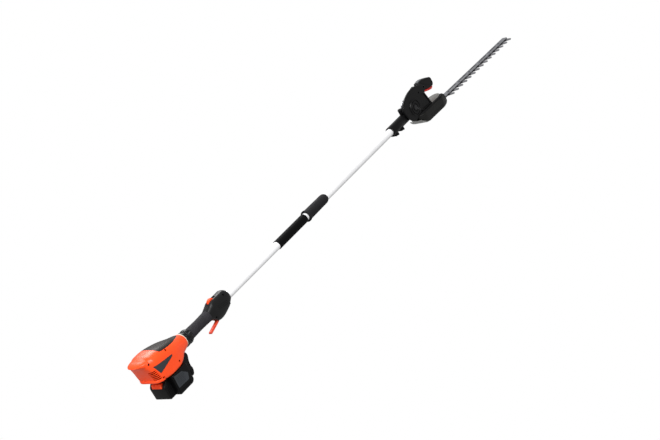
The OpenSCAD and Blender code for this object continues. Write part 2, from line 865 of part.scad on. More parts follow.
// Offset gears that lift the drive from the pole's axis to the pivot's height
offset_r = pivot_rise / 2;
offset_x1 = pivot_x - chamber_r - 3;
offset_x0 = offset_x1 - 8;

module clamp_bracket() {
  color([0.14, 0.14, 0.15]) difference() {
    union() {
      on_axis() xcyl(clamp_x0, neck_x0, clamp_d);
      on_axis() intersection() {
        xcyl(neck_x0 - 1, pivot_x - 12, clamp_d);
        translate([neck_x0 - 2, -half_k, -clamp_d]) cube([pivot_x - neck_x0, knuckle_w, 2 * clamp_d]);
      }
      on_pivot() ycyl(0, 0, -half_k, half_k, 2 * knuckle_r);
      // Hump over the upper offset gear
      on_pivot() xcyl(offset_x0 - pivot_x - 4, -chamber_r, 2 * offset_r + 8);
      on_axis() for (x = clamp_bolts_at)
        translate([x - 8, -9, -clamp_d / 2 - lug_h + 2]) cube([16, 18, lug_h]);
    }
    on_axis() {
      xcyl(clamp_x0 - over, pole_x1, pole_d);
      xcyl(pole_x1 - over, offset_x1 + gap, 2 * offset_r + 3.6);
      // Saw cut that lets the tube clamp the pole
      translate([clamp_x0 - over, -0.8, -clamp_d / 2 - lug_h])
        cube([0.7 * clamp_len, 1.6, clamp_d / 2 + lug_h]);
      for (x = clamp_bolts_at) ycyl(x, -clamp_d / 2 - 3, -12, 12, 5);
      // Screw seat of the locking knob
      translate([knob_x, 0, 0]) cylinder(h = clamp_d, d = knob_screw_d + 2 * run, $fn = 32);
    }
    on_pivot() {
      // Gear chamber, with a window for the head's gear as the head folds
      ycyl(0, 0, chamber_y0, chamber_y1, 2 * chamber_r);
      translate([offset_x0 - pivot_x - gap, 0, 0])
        xcyl(0, offset_x1 - offset_x0 + 2 * gap, 2 * offset_r + 3.6);
      xcyl(-knuckle_r + 8, 0, shaft_d + 2 * run);
      window();
      ycyl(0, 0, -half_k - over, half_k + over, pivot_d);
      ycyl(0, 0, index_y0, half_k + over, 2 * index_r);
    }
  }
}

module window() {
  r = knuckle_r + 6;
  slab(concat([[0, 0]], arc_pts(0, 0, r * 1.1, -fold_down - 17, fold_up + 17, 16)), -6, 6);
}

module locking_knob() {
  h = 20;
  z0 = clamp_d / 2 + gap;
  color([0.09, 0.09, 0.1]) on_axis() translate([knob_x, 0, 0]) {
    translate([0, 0, 2 * offset_r]) cylinder(h = z0 + 2 - 2 * offset_r, d = knob_screw_d, $fn = 32);
    difference() {
      translate([0, 0, z0]) cylinder(h = h, d1 = 15, d2 = 18, $fn = 48);
      for (a = [0:60:300]) rotate([0, 0, a])
        translate([11, 0, z0 - over]) cylinder(h = h + 2 * over, d = 7, $fn = 32);
    }
  }
}

module clamp_bolts() {
  color("dimgray") on_axis() for (x = clamp_bolts_at) {
    ycyl(x, -clamp_d / 2 - 3, -9, 12, 5);
    difference() {
      ycyl(x, -clamp_d / 2 - 3, -13, -9, 8.5);
      translate([x, -14, -clamp_d / 2 - 3]) rotate([-90, 0, 0]) cylinder(h = 4, d = 4.6, $fn = 6);
    }
  }
}

module index_plate() {
  color("silver") on_pivot() difference() {
    ycyl(0, 0, index_y0, half_k, 2 * index_r);
    ycyl(0, 0, index_y0 - over, half_k + over, pivot_d);
    for (a = [-fold_up:notch_step:fold_down])
      rotate([0, droop + a - pawl_angle, 0])
        translate([index_r - notch_depth, index_y0 - over, -2.6])
          cube([notch_depth + 5, index_t + 2 * over, 5.2]);
  }
}

module pivot_bolt() {
  color("silver") on_pivot() {
    ycyl(0, 0, chamber_y1, shell_y1 + gap, pivot_d);
    ycyl(0, 0, shell_y1 + gap, shell_y1 + 4, 18);
    ycyl(0, 0, -shell_y1 - gap, chamber_y0, pivot_d);
    ycyl(0, 0, -shell_y1 - 3, -shell_y1 - gap, 18);
    ycyl(0, 0, chamber_y0 - over, -3, 5);
  }
}

// Bevel blank along +Z with straight tooth slots, its apex at the origin
module miter(r, face, teeth, hub) {
  difference() {
    union() {
      translate([0, 0, r - face]) cylinder(h = face, r1 = r - face, r2 = r, $fn = 48);
      translate([0, 0, r]) cylinder(h = hub, r = r * 0.72, $fn = 48);
    }
    for (i = [0:teeth - 1]) rotate([0, 0, i * 360 / teeth])
      translate([r, 0, r]) rotate([0, 45, 0]) translate([-1, -0.7, -2 * r]) cube([4, 1.4, 2.2 * r]);
  }
}

// Spur gear along +X with straight tooth slots
module spur(x0, x1, r, teeth) {
  difference() {
    xcyl(x0, x1, 2 * (r - 0.15));
    for (i = [0:teeth - 1]) rotate([i * 360 / teeth, 0, 0])
      translate([x0 - over, r - 1.4, -0.6]) cube([x1 - x0 + 2 * over, 3, 1.2]);
  }
}

module offset_gear() {
  color("gray") on_axis() spur(offset_x0, offset_x1, offset_r, 12);
}

module drive_pinion() {
  color("gray") on_pivot() {
    rotate([0, -90, 0]) miter(miter_r - gap, miter_face, 12, 3);
    xcyl(offset_x1 - pivot_x - over, -miter_r, shaft_d - 1);
    xcyl(offset_x1 - pivot_x, -chamber_r - gap, shaft_d);
    translate([-pivot_x, 0, 0]) spur(offset_x0, offset_x1, offset_r, 12);
  }
}

module idler_gear() {
  color("gray") on_pivot() rotate([90, 0, 0]) difference() {
    miter(miter_r - gap, miter_face, 12, 1);
    translate([0, 0, -over]) cylinder(h = 30, d = 5 + 2 * run, $fn = 48);
  }
}

// ---- Articulating head ----

// Room between the shells for the neck, from the given angle on
module fold_slot(a0) {
  slab(concat([[0, 0]], arc_pts(0, 0, 120, a0, 242 + fold_down, 16)), -shell_y0, shell_y0);
}

module head_body() {
  crown_floor = -crown_pinion_r - 5 - 2 * gap;
  difference() {
    union() {
      slab(web_pts, -shell_y0 - over, shell_y1);
      slab(sector_pts, -shell_y1, -shell_y0);
      ycyl(0, 0, -shell_y1 - 1.2, -shell_y0, 2 * boss_r);
    }
    // The knuckle turns between the two side shells
    ycyl(0, 0, -shell_y0, shell_y0, 2 * (index_r + gap));
    fold_slot(57);
    ycyl(0, 0, -shell_y1 - 2 * over, shell_y1 + over, pivot_d + 2 * run);
    // Ring groove and seat of the bolt's head
    ycyl(0, 0, -shell_y1 - 2 * over, -shell_y1, 26);
    difference() {
      slab(panel_pts, -shell_y1 - over, panel_depth - shell_y1);
      ycyl(0, 0, -shell_y1 - 2 * over, -shell_y0, 2 * boss_r);
    }
    // Journal of the head's shaft, room for its pinion and chamber of the crown gear
    xcyl(30, crank_x, shaft_d + 2 * run);
    xcyl(crank_x - crown_r - 5, crank_x, 2 * crown_pinion_r + 3);
    translate([crank_x, 0, crown_floor]) cylinder(h = 12 - crown_floor, r = crown_r + 1.5, $fn = 64);
    translate([crank_x, 0, case_top - over])
      cylinder(h = crown_floor - case_top + 2 * over, d = crank_d + 2 * run, $fn = 48);
    // Channel of the pawl
    rotate([0, -pawl_angle, 0])
      translate([30, pawl_y0 - gap, -4.5 - gap])
        cube([pawl_r1 + pawl_lift + 2 - 30, pawl_w + 2 * gap, 9 + 2 * gap]);
    lever_slot();
  }
}

module lever_slot() {
  translate([lever_pin[0] - 6, -5.3, lever_pin[1] - 16]) cube([60, 10.6, 23]);
}

module head_shell(side) {
  difference() {
    half_of(side, -80, 240, 120) head_body();
    ycyl(lever_pin[0], lever_pin[1], -12, 12, pin_d);
    for (p = shell_screws_at) {
      ycyl(p[0], p[1], -shell_y1 - 10, 12, screw_d);
      if (side < 0) ycyl(p[0], p[1], -shell_y1 - 10, -14, screw_head_d);
    }
  }
}

shell_screws_at = [[50, 34], [91, 37], [30, -27]];

module head_shell_left() color([0.12, 0.12, 0.13]) on_head() head_shell(1);

module head_shell_right() color([0.12, 0.12, 0.13]) on_head() head_shell(-1);

module head_screws() {
  color("dimgray") on_head() for (p = shell_screws_at) {
    ycyl(p[0], p[1], -14, 12, screw_d);
    difference() {
      ycyl(p[0], p[1], -18, -14, screw_head_d);
      translate([p[0], -19, p[1]]) rotate([-90, 0, 0]) cylinder(h = 3, d = 3.6, $fn = 6);
    }
  }
}

module adjusting_handle() {
  r = 12;
  color([0.1, 0.1, 0.11]) on_head() difference() {
    slab(concat(
      [[handle_x0, 53], [handle_x0, 38], [106, 28], [138, 16]],
      arc_pts(handle_x1 - r, 23, r, -110, 62, 12),
      [[136, 46], [110, 55]]
    ), -13, 13);
    slab(web_pts, -shell_y1 - over, shell_y1 + over);
    // Channel that the release lever is squeezed into
    slab([
      [handle_x0 - over, -5], [handle_x0 - over, 38], [104, 35], [135, 27.5], [158, 23],
      [handle_x1 + over, 22], [handle_x1 + over, -5]
    ], -lever_w / 2 - 2 * gap, lever_w / 2 + 2 * gap);
    // Seat of the pale plate on top
    handle_plate_shape(seat / 2);
  }
}

// Plate let into the top of the handle
module handle_plate_shape(clear) {
  slab([
    [90 - clear, 70], [90 - clear, 51.5 - clear], [110, 53 - clear], [136, 44 - clear],
    [156 + clear, 35.5 - clear], [156 + clear, 70]
  ], -9 - clear, 9 + clear);
}

module handle_plate() {
  color("silver") on_head() intersection() {
    handle_plate_shape(0);
    slab([
      [88, 50], [110, 52], [136, 43], [158, 34], [158, 36.8], [137, 47.3], [110, 56.8], [88, 57.5]
    ], -10, 10);
  }
}

module release_lever() {
  color([0.8, 0.15, 0.1]) on_head() translate([lever_pin[0], 0, lever_pin[1]]) difference() {
    slab(concat(
      arc_pts(0, 0, 5, 90, 250, 10),
      [[12, -7.5], [28, -12.5], [46, -17], [lever_len - 12, -20.5]],
      arc_pts(lever_len - 5, -14, 5, -70, 70, 8),
      [[62, -9.6], [44, -7], [26, -3], [14, 1]]
    ), -lever_w / 2, lever_w / 2);
    ycyl(0, 0, -20, 20, pin_d + 2 * run);
  }
}

module lever_pin_rod() {
  color("lightgray") on_head() ycyl(lever_pin[0], lever_pin[1], -12, 12, pin_d);
}

module index_pawl() {
  color("silver") on_head() rotate([0, -pawl_angle, 0])
    difference() {
      translate([pawl_r0, pawl_y0, -4.5]) cube([pawl_r1 - pawl_r0, pawl_w, 9]);
      for (s = [-1, 1]) translate([pawl_r0, pawl_y0 - over, s * 4.5]) rotate([0, 45, 0])
        translate([-2, 0, -2]) cube([4, pawl_w + 2 * over, 4]);
    }
}

module head_shaft() {
  color("gray") on_head() {
    rotate([0, 90, 0]) miter(miter_r - gap, miter_face, 12, 4);
    xcyl(miter_r + 2, crank_x - crown_r - 3, shaft_d);
    translate([crank_x - crown_r, 0, 0]) rotate([0, 90, 0])
      cylinder(h = 5, r1 = crown_pinion_r - 0.3, r2 = crown_pinion_r - 2.5, $fn = 48);
    xcyl(crank_x - crown_r - 4, crank_x - crown_r, 2 * crown_pinion_r - 2);
  }
}

module crank_gear() {
  crown_top = -crown_pinion_r - gap;
  color("gray") on_head() translate([crank_x, 0, 0]) {
    difference() {
      translate([0, 0, crown_top - 5]) cylinder(h = 5, r = crown_r, $fn = 64);
      for (a = [0:15:345]) rotate([0, 0, a])
        translate([crown_r - 5, -0.7, crown_top - 1.6]) cube([8, 1.4, 3]);
    }
    translate([0, 0, upper_z + blade_t - 0.5])
      cylinder(h = crown_top - 4 - upper_z - blade_t, d = crank_d, $fn = 48);
    translate([0, blade_throw, upper_z]) cylinder(h = blade_t, r = crank_pin_r, $fn = 48);
    translate([0, -blade_throw, lower_z]) cylinder(h = blade_t, r = crank_pin_r, $fn = 48);
    // Web that joins the two eccentrics
    translate([-5, -blade_throw, lower_z + blade_t - 0.5]) cube([10, 2 * blade_throw, gap / 2 + 1]);
  }
}

// ---- Gear case ----

module case_plan(inset) {
  r = case_w / 2 - inset;
  f = case_front - inset;
  polygon(concat(
    arc_pts(case_rear + case_w / 2, 0, r, 90, 270, 24),
    [
      [case_front - 52, -r], [case_front - 24, 8 - r], [case_front - 6, 17 - r], [f, 19 - r],
      [f, r - 19], [case_front - 6, r - 17], [case_front - 24, r - 8], [case_front - 52, r]
    ]
  ));
}

// Slope under the back of the case that lets the head fold down
slope_x = 44;
slope_top = [4, -52];

module case_slope(up) {
  slab([
    [case_rear - 10, slope_top[1] + 5], [slope_top[0] + up, slope_top[1]], [slope_x + up, case_bottom],
    [slope_x + up, case_bottom - over], [case_rear - 10, case_bottom - over]
  ], -case_w, case_w);
}

// Slope down the front of the case to the cutter
module case_nose() {
  slab([
    [case_front - 26, case_top + over], [case_front - 26, case_top], [case_front + over, case_split],
    [case_front + 2 * over, case_top + over]
  ], -case_w, case_w);
}

module gear_case_upper() {
  color([0.13, 0.13, 0.14]) on_head() difference() {
    translate([0, 0, case_split]) linear_extrude(case_top - case_split) case_plan(0);
    translate([crank_x, 0, case_split - over]) cylinder(h = 40, d = crank_d + 2 * run, $fn = 48);
    case_nose();
    // Chamfers along the top edges
    for (s = [-1, 1]) mirror([0, s < 0 ? 1 : 0, 0])
      translate([case_rear - over, case_w / 2 - case_chamfer, case_top]) rotate([-45, 0, 0])
        cube([case_front, 2 * case_chamfer, 2 * case_chamfer]);
    for (p = case_bolts_at) translate([p[0], p[1], case_split - over]) cylinder(h = 12, d = 5, $fn = 32);
    ycyl(0, 0, -shell_y0, shell_y0, 2 * (index_r + gap));
    fold_slot(190);
    case_slope(0);
  }
}

module gear_case_lower() {
  color([0.13, 0.13, 0.14]) on_head() difference() {
    translate([0, 0, case_bottom]) linear_extrude(case_split - case_bottom) case_plan(0);
    difference() {
      translate([0, 0, case_bottom + case_wall])
        linear_extrude(case_split - case_bottom) case_plan(case_wall);
      case_slope(2 * case_wall);
    }
    translate([case_front - 20, -bar_w / 2 - 0.5, lower_z - nut_t - 2.5])
      cube([40, bar_w + 1, case_split - lower_z + nut_t + 4]);
    case_slope(0);
  }
}

module gear_case_cap() {
  dome_r = 90;
  color([0.5, 0.5, 0.52]) on_head() intersection() {
    translate([0, 0, case_top]) linear_extrude(cap_t)
      polygon([
        [108, -22], [case_front - 60, -23], [case_front - 38, -18], [case_front - 28, -9],
        [case_front - 28, 9], [case_front - 38, 18], [case_front - 60, 23], [108, 22]
      ]);
    translate([100, 0, case_top - dome_r + 4]) rotate([0, 90, 0]) cylinder(h = 130, r = dome_r, $fn = 144);
  }
}

module skid_plate() {
  t = 2;
  color([0.6, 0.6, 0.62]) on_head()
    slab([
      [slope_x, case_bottom], slope_top, [slope_top[0] - 1, slope_top[1] - 1.8],
      [slope_x - 0.5, case_bottom - t], [120, case_bottom - t], [120, case_bottom]
    ], -case_w / 2 + 8, case_w / 2 - 8);
}

// ---- Cutter ----

module guide_bar() {
  color([0.6, 0.6, 0.62]) on_head() difference() {
    union() {
      translate([0, 0, bar_z]) linear_extrude(bar_t)
        polygon([
          [bar_x0, -bar_w / 2], [bar_x1 - 5, -bar_w / 2], [bar_x1, -bar_w / 2 + 5],
          [bar_x1, bar_w / 2 - 2], [bar_x1 - 2, bar_w / 2], [bar_x0, bar_w / 2]
        ]);
      // Turned-down back edge behind the blades
      translate([case_front + 4, bar_w / 2 - 2, lower_z])
        cube([bar_x1 - case_front - 10, 2, bar_z - lower_z + over]);
    }
    for (i = [0:bolt_count - 1])
      translate([bolt_x0() + i * bolt_pitch, 0, bar_z - over])
        cylinder(h = bar_t + 2 * over, d = 5, $fn = 32);
    for (p = case_bolts_at)
      translate([p[0], p[1], bar_z - over]) cylinder(h = bar_t + 2 * over, d = 5, $fn = 32);
    // Long slots between the bolts
    for (i = [0:bolt_count - 2])
      translate([bolt_x0() + i * bolt_pitch + 16, 1, bar_z - over])
        cube([bolt_pitch - 32, 4.5, bar_t + 2 * over]);
  }
}

module blade_profile() {
  root_y = 3 - bar_w / 2;
  difference() {
    polygon(concat(
      [[blade_x0, -14], [blade_x0 + 6, -22], [crank_x + 20, -22], [case_bolts_at[0][0] - 8, root_y]],
      [for (i = [0:tooth_count - 1]) let (x = tooth_x0 + i * tooth_pitch) each [
        [x, root_y], [x + (tooth_root - tooth_tip) / 2 + 2, tooth_tip_y],
        [x + (tooth_root + tooth_tip) / 2 + 2, tooth_tip_y], [x + tooth_root, root_y]
      ]],
      [[bar_x1 - 2, root_y], [cutter_x1 - blade_throw, -4], [cutter_x1 - blade_throw, 1]],
      [[bar_x1 - 4, blade_back], [crank_x + 34, blade_back], [crank_x + 20, 22]],
      [[blade_x0 + 6, 22], [blade_x0, 14]]
    ));
    // Window in which the crank pin works
    translate([crank_x - blade_throw, -crank_sweep]) square([2 * blade_throw, 2 * crank_sweep]);
    for (s = [-1, 1]) translate([crank_x + s * blade_throw, 0]) circle(r = crank_sweep, $fn = 64);
    for (i = [0:bolt_count - 1]) slot_at(bolt_x0() + i * bolt_pitch);
    for (p = case_bolts_at) slot_at(p[0]);
  }
}

module slot_at(x) {
  r = bush_d / 2 + 2 * run;
  translate([x - blade_throw - 1, -r]) square([2 * blade_throw + 2, 2 * r]);
  for (s = [-1, 1]) translate([x + s * (blade_throw + 1), 0]) circle(r = r, $fn = 32);
}

module upper_blade() {
  color([0.72, 0.72, 0.74]) on_head()
    translate([0, 0, upper_z]) linear_extrude(blade_t) blade_profile();
}

module lower_blade() {
  color([0.66, 0.66, 0.68]) on_head()
    translate([0, 0, lower_z]) linear_extrude(blade_t) blade_profile();
}

// Bolt with its bush, washer and nut; its shank reaches up to z1
module blade_bolt(x, z1) {
  bush_z = lower_z - gap / 2;
  washer_z = bush_z - washer_t;
  nut_z = washer_z - nut_t;
  translate([x, 0, 0]) {
    translate([0, 0, nut_z]) cylinder(h = z1 - nut_z, d = 5, $fn = 32);
    translate([0, 0, bush_z]) cylinder(h = bar_z - bush_z, d = bush_d, $fn = 48);
    translate([0, 0, washer_z]) cylinder(h = washer_t, d = bush_d + 8, $fn = 48);
    translate([0, 0, nut_z]) cylinder(h = nut_t, d = bush_d + 2, $fn = 6);
  }
}

module blade_bolts() {
  color("dimgray") on_head() {
    for (i = [0:bolt_count - 1]) let (x = bolt_x0() + i * bolt_pitch) {
      blade_bolt(x, bar_top);
      translate([x, 0, bar_top]) cylinder(h = 2.6, d = 9, $fn = 6);
    }
    for (p = case_bolts_at) blade_bolt(p[0], case_split + 10);
  }
}

housing_left();
housing_right();
housing_screws();
top_cover();
label_plate();
motor_stator();
motor_rotor();
cooling_fan();
motor_bearings();
shaft_coupling();
drive_shaft();
shaft_bushes();
controller_board();
terminal_block();
battery_case();
battery_panels();
battery_latch();
battery_guard();
collar();
rubber_grip();
switch_housing_left();
switch_housing_right();
handle_screws();
handle_pins();
trigger();
lock_off_lever();
power_switch();
pole_tube();
pole_sleeve();
front_grip();
clamp_bracket();
clamp_bolts();
locking_knob();
index_plate();
pivot_bolt();
offset_gear();
drive_pinion();
idler_gear();
head_shell_left();
head_shell_right();
head_screws();
adjusting_handle();
handle_plate();
release_lever();
lever_pin_rod();
index_pawl();
head_shaft();
crank_gear();
gear_case_upper();
gear_case_lower();
gear_case_cap();
skid_plate();
guide_bar();
upper_blade();
lower_blade();
blade_bolts();
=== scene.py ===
"""Looks of a battery pole hedge trimmer, laid out as a Blender add-on.

The scene is in metres, the numbers of its shapes in millimetres. +X runs forward along the
pole, +Z is up and +Y is the user's left.
"""

import json
from functools import cache
from math import atan2, cos, radians, sin, sqrt, tan

import bmesh
import bpy
import numpy as np
from mathutils import Matrix, Vector


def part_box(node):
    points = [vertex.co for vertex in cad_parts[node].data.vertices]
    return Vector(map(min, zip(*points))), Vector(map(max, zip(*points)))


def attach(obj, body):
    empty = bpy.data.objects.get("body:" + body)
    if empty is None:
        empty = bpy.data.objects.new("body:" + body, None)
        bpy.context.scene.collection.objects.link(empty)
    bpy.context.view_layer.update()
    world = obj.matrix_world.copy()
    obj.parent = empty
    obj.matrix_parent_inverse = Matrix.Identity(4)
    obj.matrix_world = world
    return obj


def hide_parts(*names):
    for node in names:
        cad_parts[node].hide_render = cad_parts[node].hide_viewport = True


bl_info = {
    "name": "Pole Hedge Trimmer Finish",
    "version": (1, 0, 0),
    "blender": (4, 5, 0),
    "location": "View3D > Sidebar > Trimmer",
    "description": "Builds the finished surfaces and materials of a pole hedge trimmer",
    "category": "Object",
}

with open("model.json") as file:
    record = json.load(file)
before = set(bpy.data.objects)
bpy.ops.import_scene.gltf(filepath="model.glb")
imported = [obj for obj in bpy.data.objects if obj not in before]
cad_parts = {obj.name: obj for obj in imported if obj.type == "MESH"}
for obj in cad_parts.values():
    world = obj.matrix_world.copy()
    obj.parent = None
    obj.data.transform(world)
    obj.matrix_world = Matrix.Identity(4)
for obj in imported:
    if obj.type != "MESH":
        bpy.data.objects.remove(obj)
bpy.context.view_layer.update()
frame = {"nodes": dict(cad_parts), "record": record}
NODES = frame["nodes"]


# ---- materials

# Stretch of the fine lines on steel that is drawn along the pole's way
DRAWN = (30, 900, 900)
# Places across the cutter between which the painted shadow of the guide bar gives way to the
# teeth's bare metal
TOOTH_ROOT = (-0.0135, -0.0165)
# Nodes with a finish of their own within their slot
OWN_FINISH = {
    "upper_blade": "cutter_steel_painted_shadow",
    "lower_blade": "cutter_steel_painted_shadow",
    "blade_bolts": "zinc_steel",
}


def blank(name):
    """A new material without nodes."""
    mat = bpy.data.materials.new(name)
    mat.use_nodes = True
    mat.node_tree.nodes.clear()
    return mat, mat.node_tree


def put(tree, kind, inputs=None, **settings):
    """Adds one shader node; inputs maps a socket to a value or to another node's output."""
    node = tree.nodes.new(kind)
    for key, value in settings.items():
        setattr(node, key, value)
    for key, value in (inputs or {}).items():
        socket = node.inputs[key]
        if isinstance(value, bpy.types.NodeSocket):
            tree.links.new(value, socket)
        else:
            socket.default_value = value
    return node


def place(tree, scale=(1, 1, 1)):
    """Object coordinates, scaled."""
    coords = put(tree, "ShaderNodeTexCoord").outputs["Object"]
    return put(tree, "ShaderNodeMapping", {"Vector": coords, "Scale": scale}).outputs["Vector"]


def noise(tree, vector, scale, detail=4, rough=0.5):
    """Cloudy grey value round 0.5."""
    inputs = {"Vector": vector, "Scale": scale, "Detail": detail, "Roughness": rough}
    return put(tree, "ShaderNodeTexNoise", inputs).outputs["Fac"]


def span(tree, value, low, high, a, b):
    """Maps value from low..high to a..b."""
    inputs = {"Value": value, "From Min": low, "From Max": high, "To Min": a, "To Max": b}
    return put(tree, "ShaderNodeMapRange", inputs).outputs["Result"]


def ramp(tree, value, stops):
    """Turns a value into a colour that runs through the stops of (place, colour)."""
    node = put(tree, "ShaderNodeValToRGB", {"Fac": value})
    bar = node.color_ramp
    while len(bar.elements) < len(stops):
        bar.elements.new(0.5)
    for element, (at, colour) in zip(bar.elements, stops):
        element.position = at
        element.color = (*colour, 1)
    return node.outputs["Color"]


def finish(tree, colour, rough, height, depth, fixed):
    """Shader with linked colour and roughness, a bump of a depth in metres, and fixed values."""
    bump = put(tree, "ShaderNodeBump", {"Height": height, "Distance": depth})
    linked = {"Base Color": colour, "Roughness": rough, "Normal": bump.outputs["Normal"]}
    bsdf = put(tree, "ShaderNodeBsdfPrincipled", {**linked, **fixed})
    put(tree, "ShaderNodeOutputMaterial", {"Surface": bsdf.outputs["BSDF"]})


def mix(tree, factor, low, high):
    """Colour between low, a node's output, and high, a fixed colour."""
    inputs = {0: factor, 6: low, 7: (*high, 1)}
    return put(tree, "ShaderNodeMix", inputs, data_type="RGBA").outputs[2]


def linear(rgb):
    """sRGB 0..255 to linear 0..1."""
    return tuple(
        c / 12.92 if c <= 0.04045 else ((c + 0.055) / 1.055) ** 2.4
        for c in (v / 255 for v in rgb)
    )


def shade(rgb, k):
    """Lighter or darker colour, never past full."""
    return tuple(min(1, c * k) for c in rgb)


def moulded(name, rgb, rough, grain, depth, coat=0, vary=0.12, gloss=0.28, wear=0.22):
    """Moulded plastic: fine spark grain, broad changes of tone and faint scuffs."""
    mat, tree = blank(name)
    base = linear(rgb)
    where = place(tree)
    broad = noise(tree, where, 14, 3)
    fine = noise(tree, where, grain, 2, 0.6)
    scuff = noise(tree, place(tree, (60, 220, 220)), 1.6, 6, 0.7)
    colour = ramp(tree, broad, [(0.3, shade(base, 1 - vary)), (0.7, shade(base, 1 + vary))])
    worn = mix(tree, span(tree, scuff, 0.66, 0.8, 0, wear), colour, shade(base, 1.5))
    rubbed = span(tree, scuff, 0.35, 0.75, rough - 0.2 * wear, rough + 0.45 * wear)
    fixed = {"Coat Weight": coat, "Coat Roughness": 0.22, "Specular IOR Level": gloss}
    finish(tree, worn, rubbed, fine, depth, fixed)
    return mat


def rubbery(name, rgb, grain, depth):
    """Soft rubber: high roughness, a close pebble and a dusty bloom."""
    mat, tree = blank(name)
    base = linear(rgb)
    where = place(tree)
    cells = {"Vector": where, "Scale": grain}
    pebble = put(tree, "ShaderNodeTexVoronoi", cells).outputs["Distance"]
    dust = noise(tree, where, 40, 5)
    colour = ramp(tree, dust, [(0.35, base), (0.8, shade(base, 1.9))])
    dull = span(tree, dust, 0.3, 0.8, 0.62, 0.85)
    finish(tree, colour, dull, pebble, depth, {"Specular IOR Level": 0.22})
    return mat


def metallic(name, rgb, rough, stretch, depth, metal=1):
    """Worked metal: fine lines along one way under a cloudy tarnish."""
    mat, tree = blank(name)
    base = linear(rgb)
    lines = noise(tree, place(tree, stretch), 1, 5, 0.65)
    cloud = noise(tree, place(tree), 22, 4)
    colour = ramp(tree, cloud, [(0.3, shade(base, 0.8)), (0.75, shade(base, 1.12))])
    lined = span(tree, lines, 0.3, 0.7, rough - 0.08, rough + 0.1)
    finish(tree, colour, lined, lines, depth, {"Metallic": metal})
    return mat


def ground(name, shadow_rgb, bright, rough):
    """Cutter steel painted dark as the shadow under the guide bar, its teeth ground bright from
    their roots outwards.
    """
    mat = metallic(name, shadow_rgb, rough, DRAWN, 2e-5)
    tree = mat.node_tree
    bsdf = next(n for n in tree.nodes if n.type == "BSDF_PRINCIPLED")
    body = bsdf.inputs["Base Color"].links[0].from_socket
    across = put(tree, "ShaderNodeSeparateXYZ", {0: place(tree)}).outputs["Y"]
    worn = noise(tree, place(tree), 300, 3)
    ragged = put(tree, "ShaderNodeMath", {0: worn, 1: 0.003, 2: across}, operation="MULTIPLY_ADD")
    # Painted shadow: the body stays dark up to the teeth's roots, where the guide bar shades the
    # blade, then turns to bright ground metal
    edge = span(tree, ragged.outputs[0], *TOOTH_ROOT, 0, 1)
    tree.links.new(mix(tree, edge, body, linear(bright)), bsdf.inputs["Base Color"])
    return mat


def coated(name, rgb, rough):
    """Smooth coat on drawn tube: faint orange peel, draw lines and a little dust."""
    mat, tree = blank(name)
    base = linear(rgb)
    peel = noise(tree, place(tree), 900, 2)
    draw = noise(tree, place(tree, (2, 900, 900)), 1, 3)
    dust = noise(tree, place(tree), 9, 6, 0.65)
    colour = ramp(tree, dust, [(0.35, shade(base, 0.93)), (0.62, base)])
    dusty = span(tree, dust, 0.3, 0.7, rough + 0.08, rough)
    both = put(tree, "ShaderNodeMath", {0: peel, 1: draw}, operation="ADD").outputs[0]
    finish(tree, colour, dusty, both, 2e-5, {"Coat Weight": 0.25})
    return mat


def cast(name, rgb, rough):
    """Blasted casting: coarse speckle under a thin oxide."""
    mat, tree = blank(name)
    base = linear(rgb)
    speck = noise(tree, place(tree), 700, 4, 0.7)
    cloud = noise(tree, place(tree), 30, 3)
    colour = ramp(tree, cloud, [(0.3, shade(base, 0.85)), (0.7, shade(base, 1.1))])
    blasted = span(tree, speck, 0.3, 0.7, rough - 0.06, rough + 0.1)
    finish(tree, colour, blasted, speck, 8e-5, {"Metallic": 0.55})
    return mat


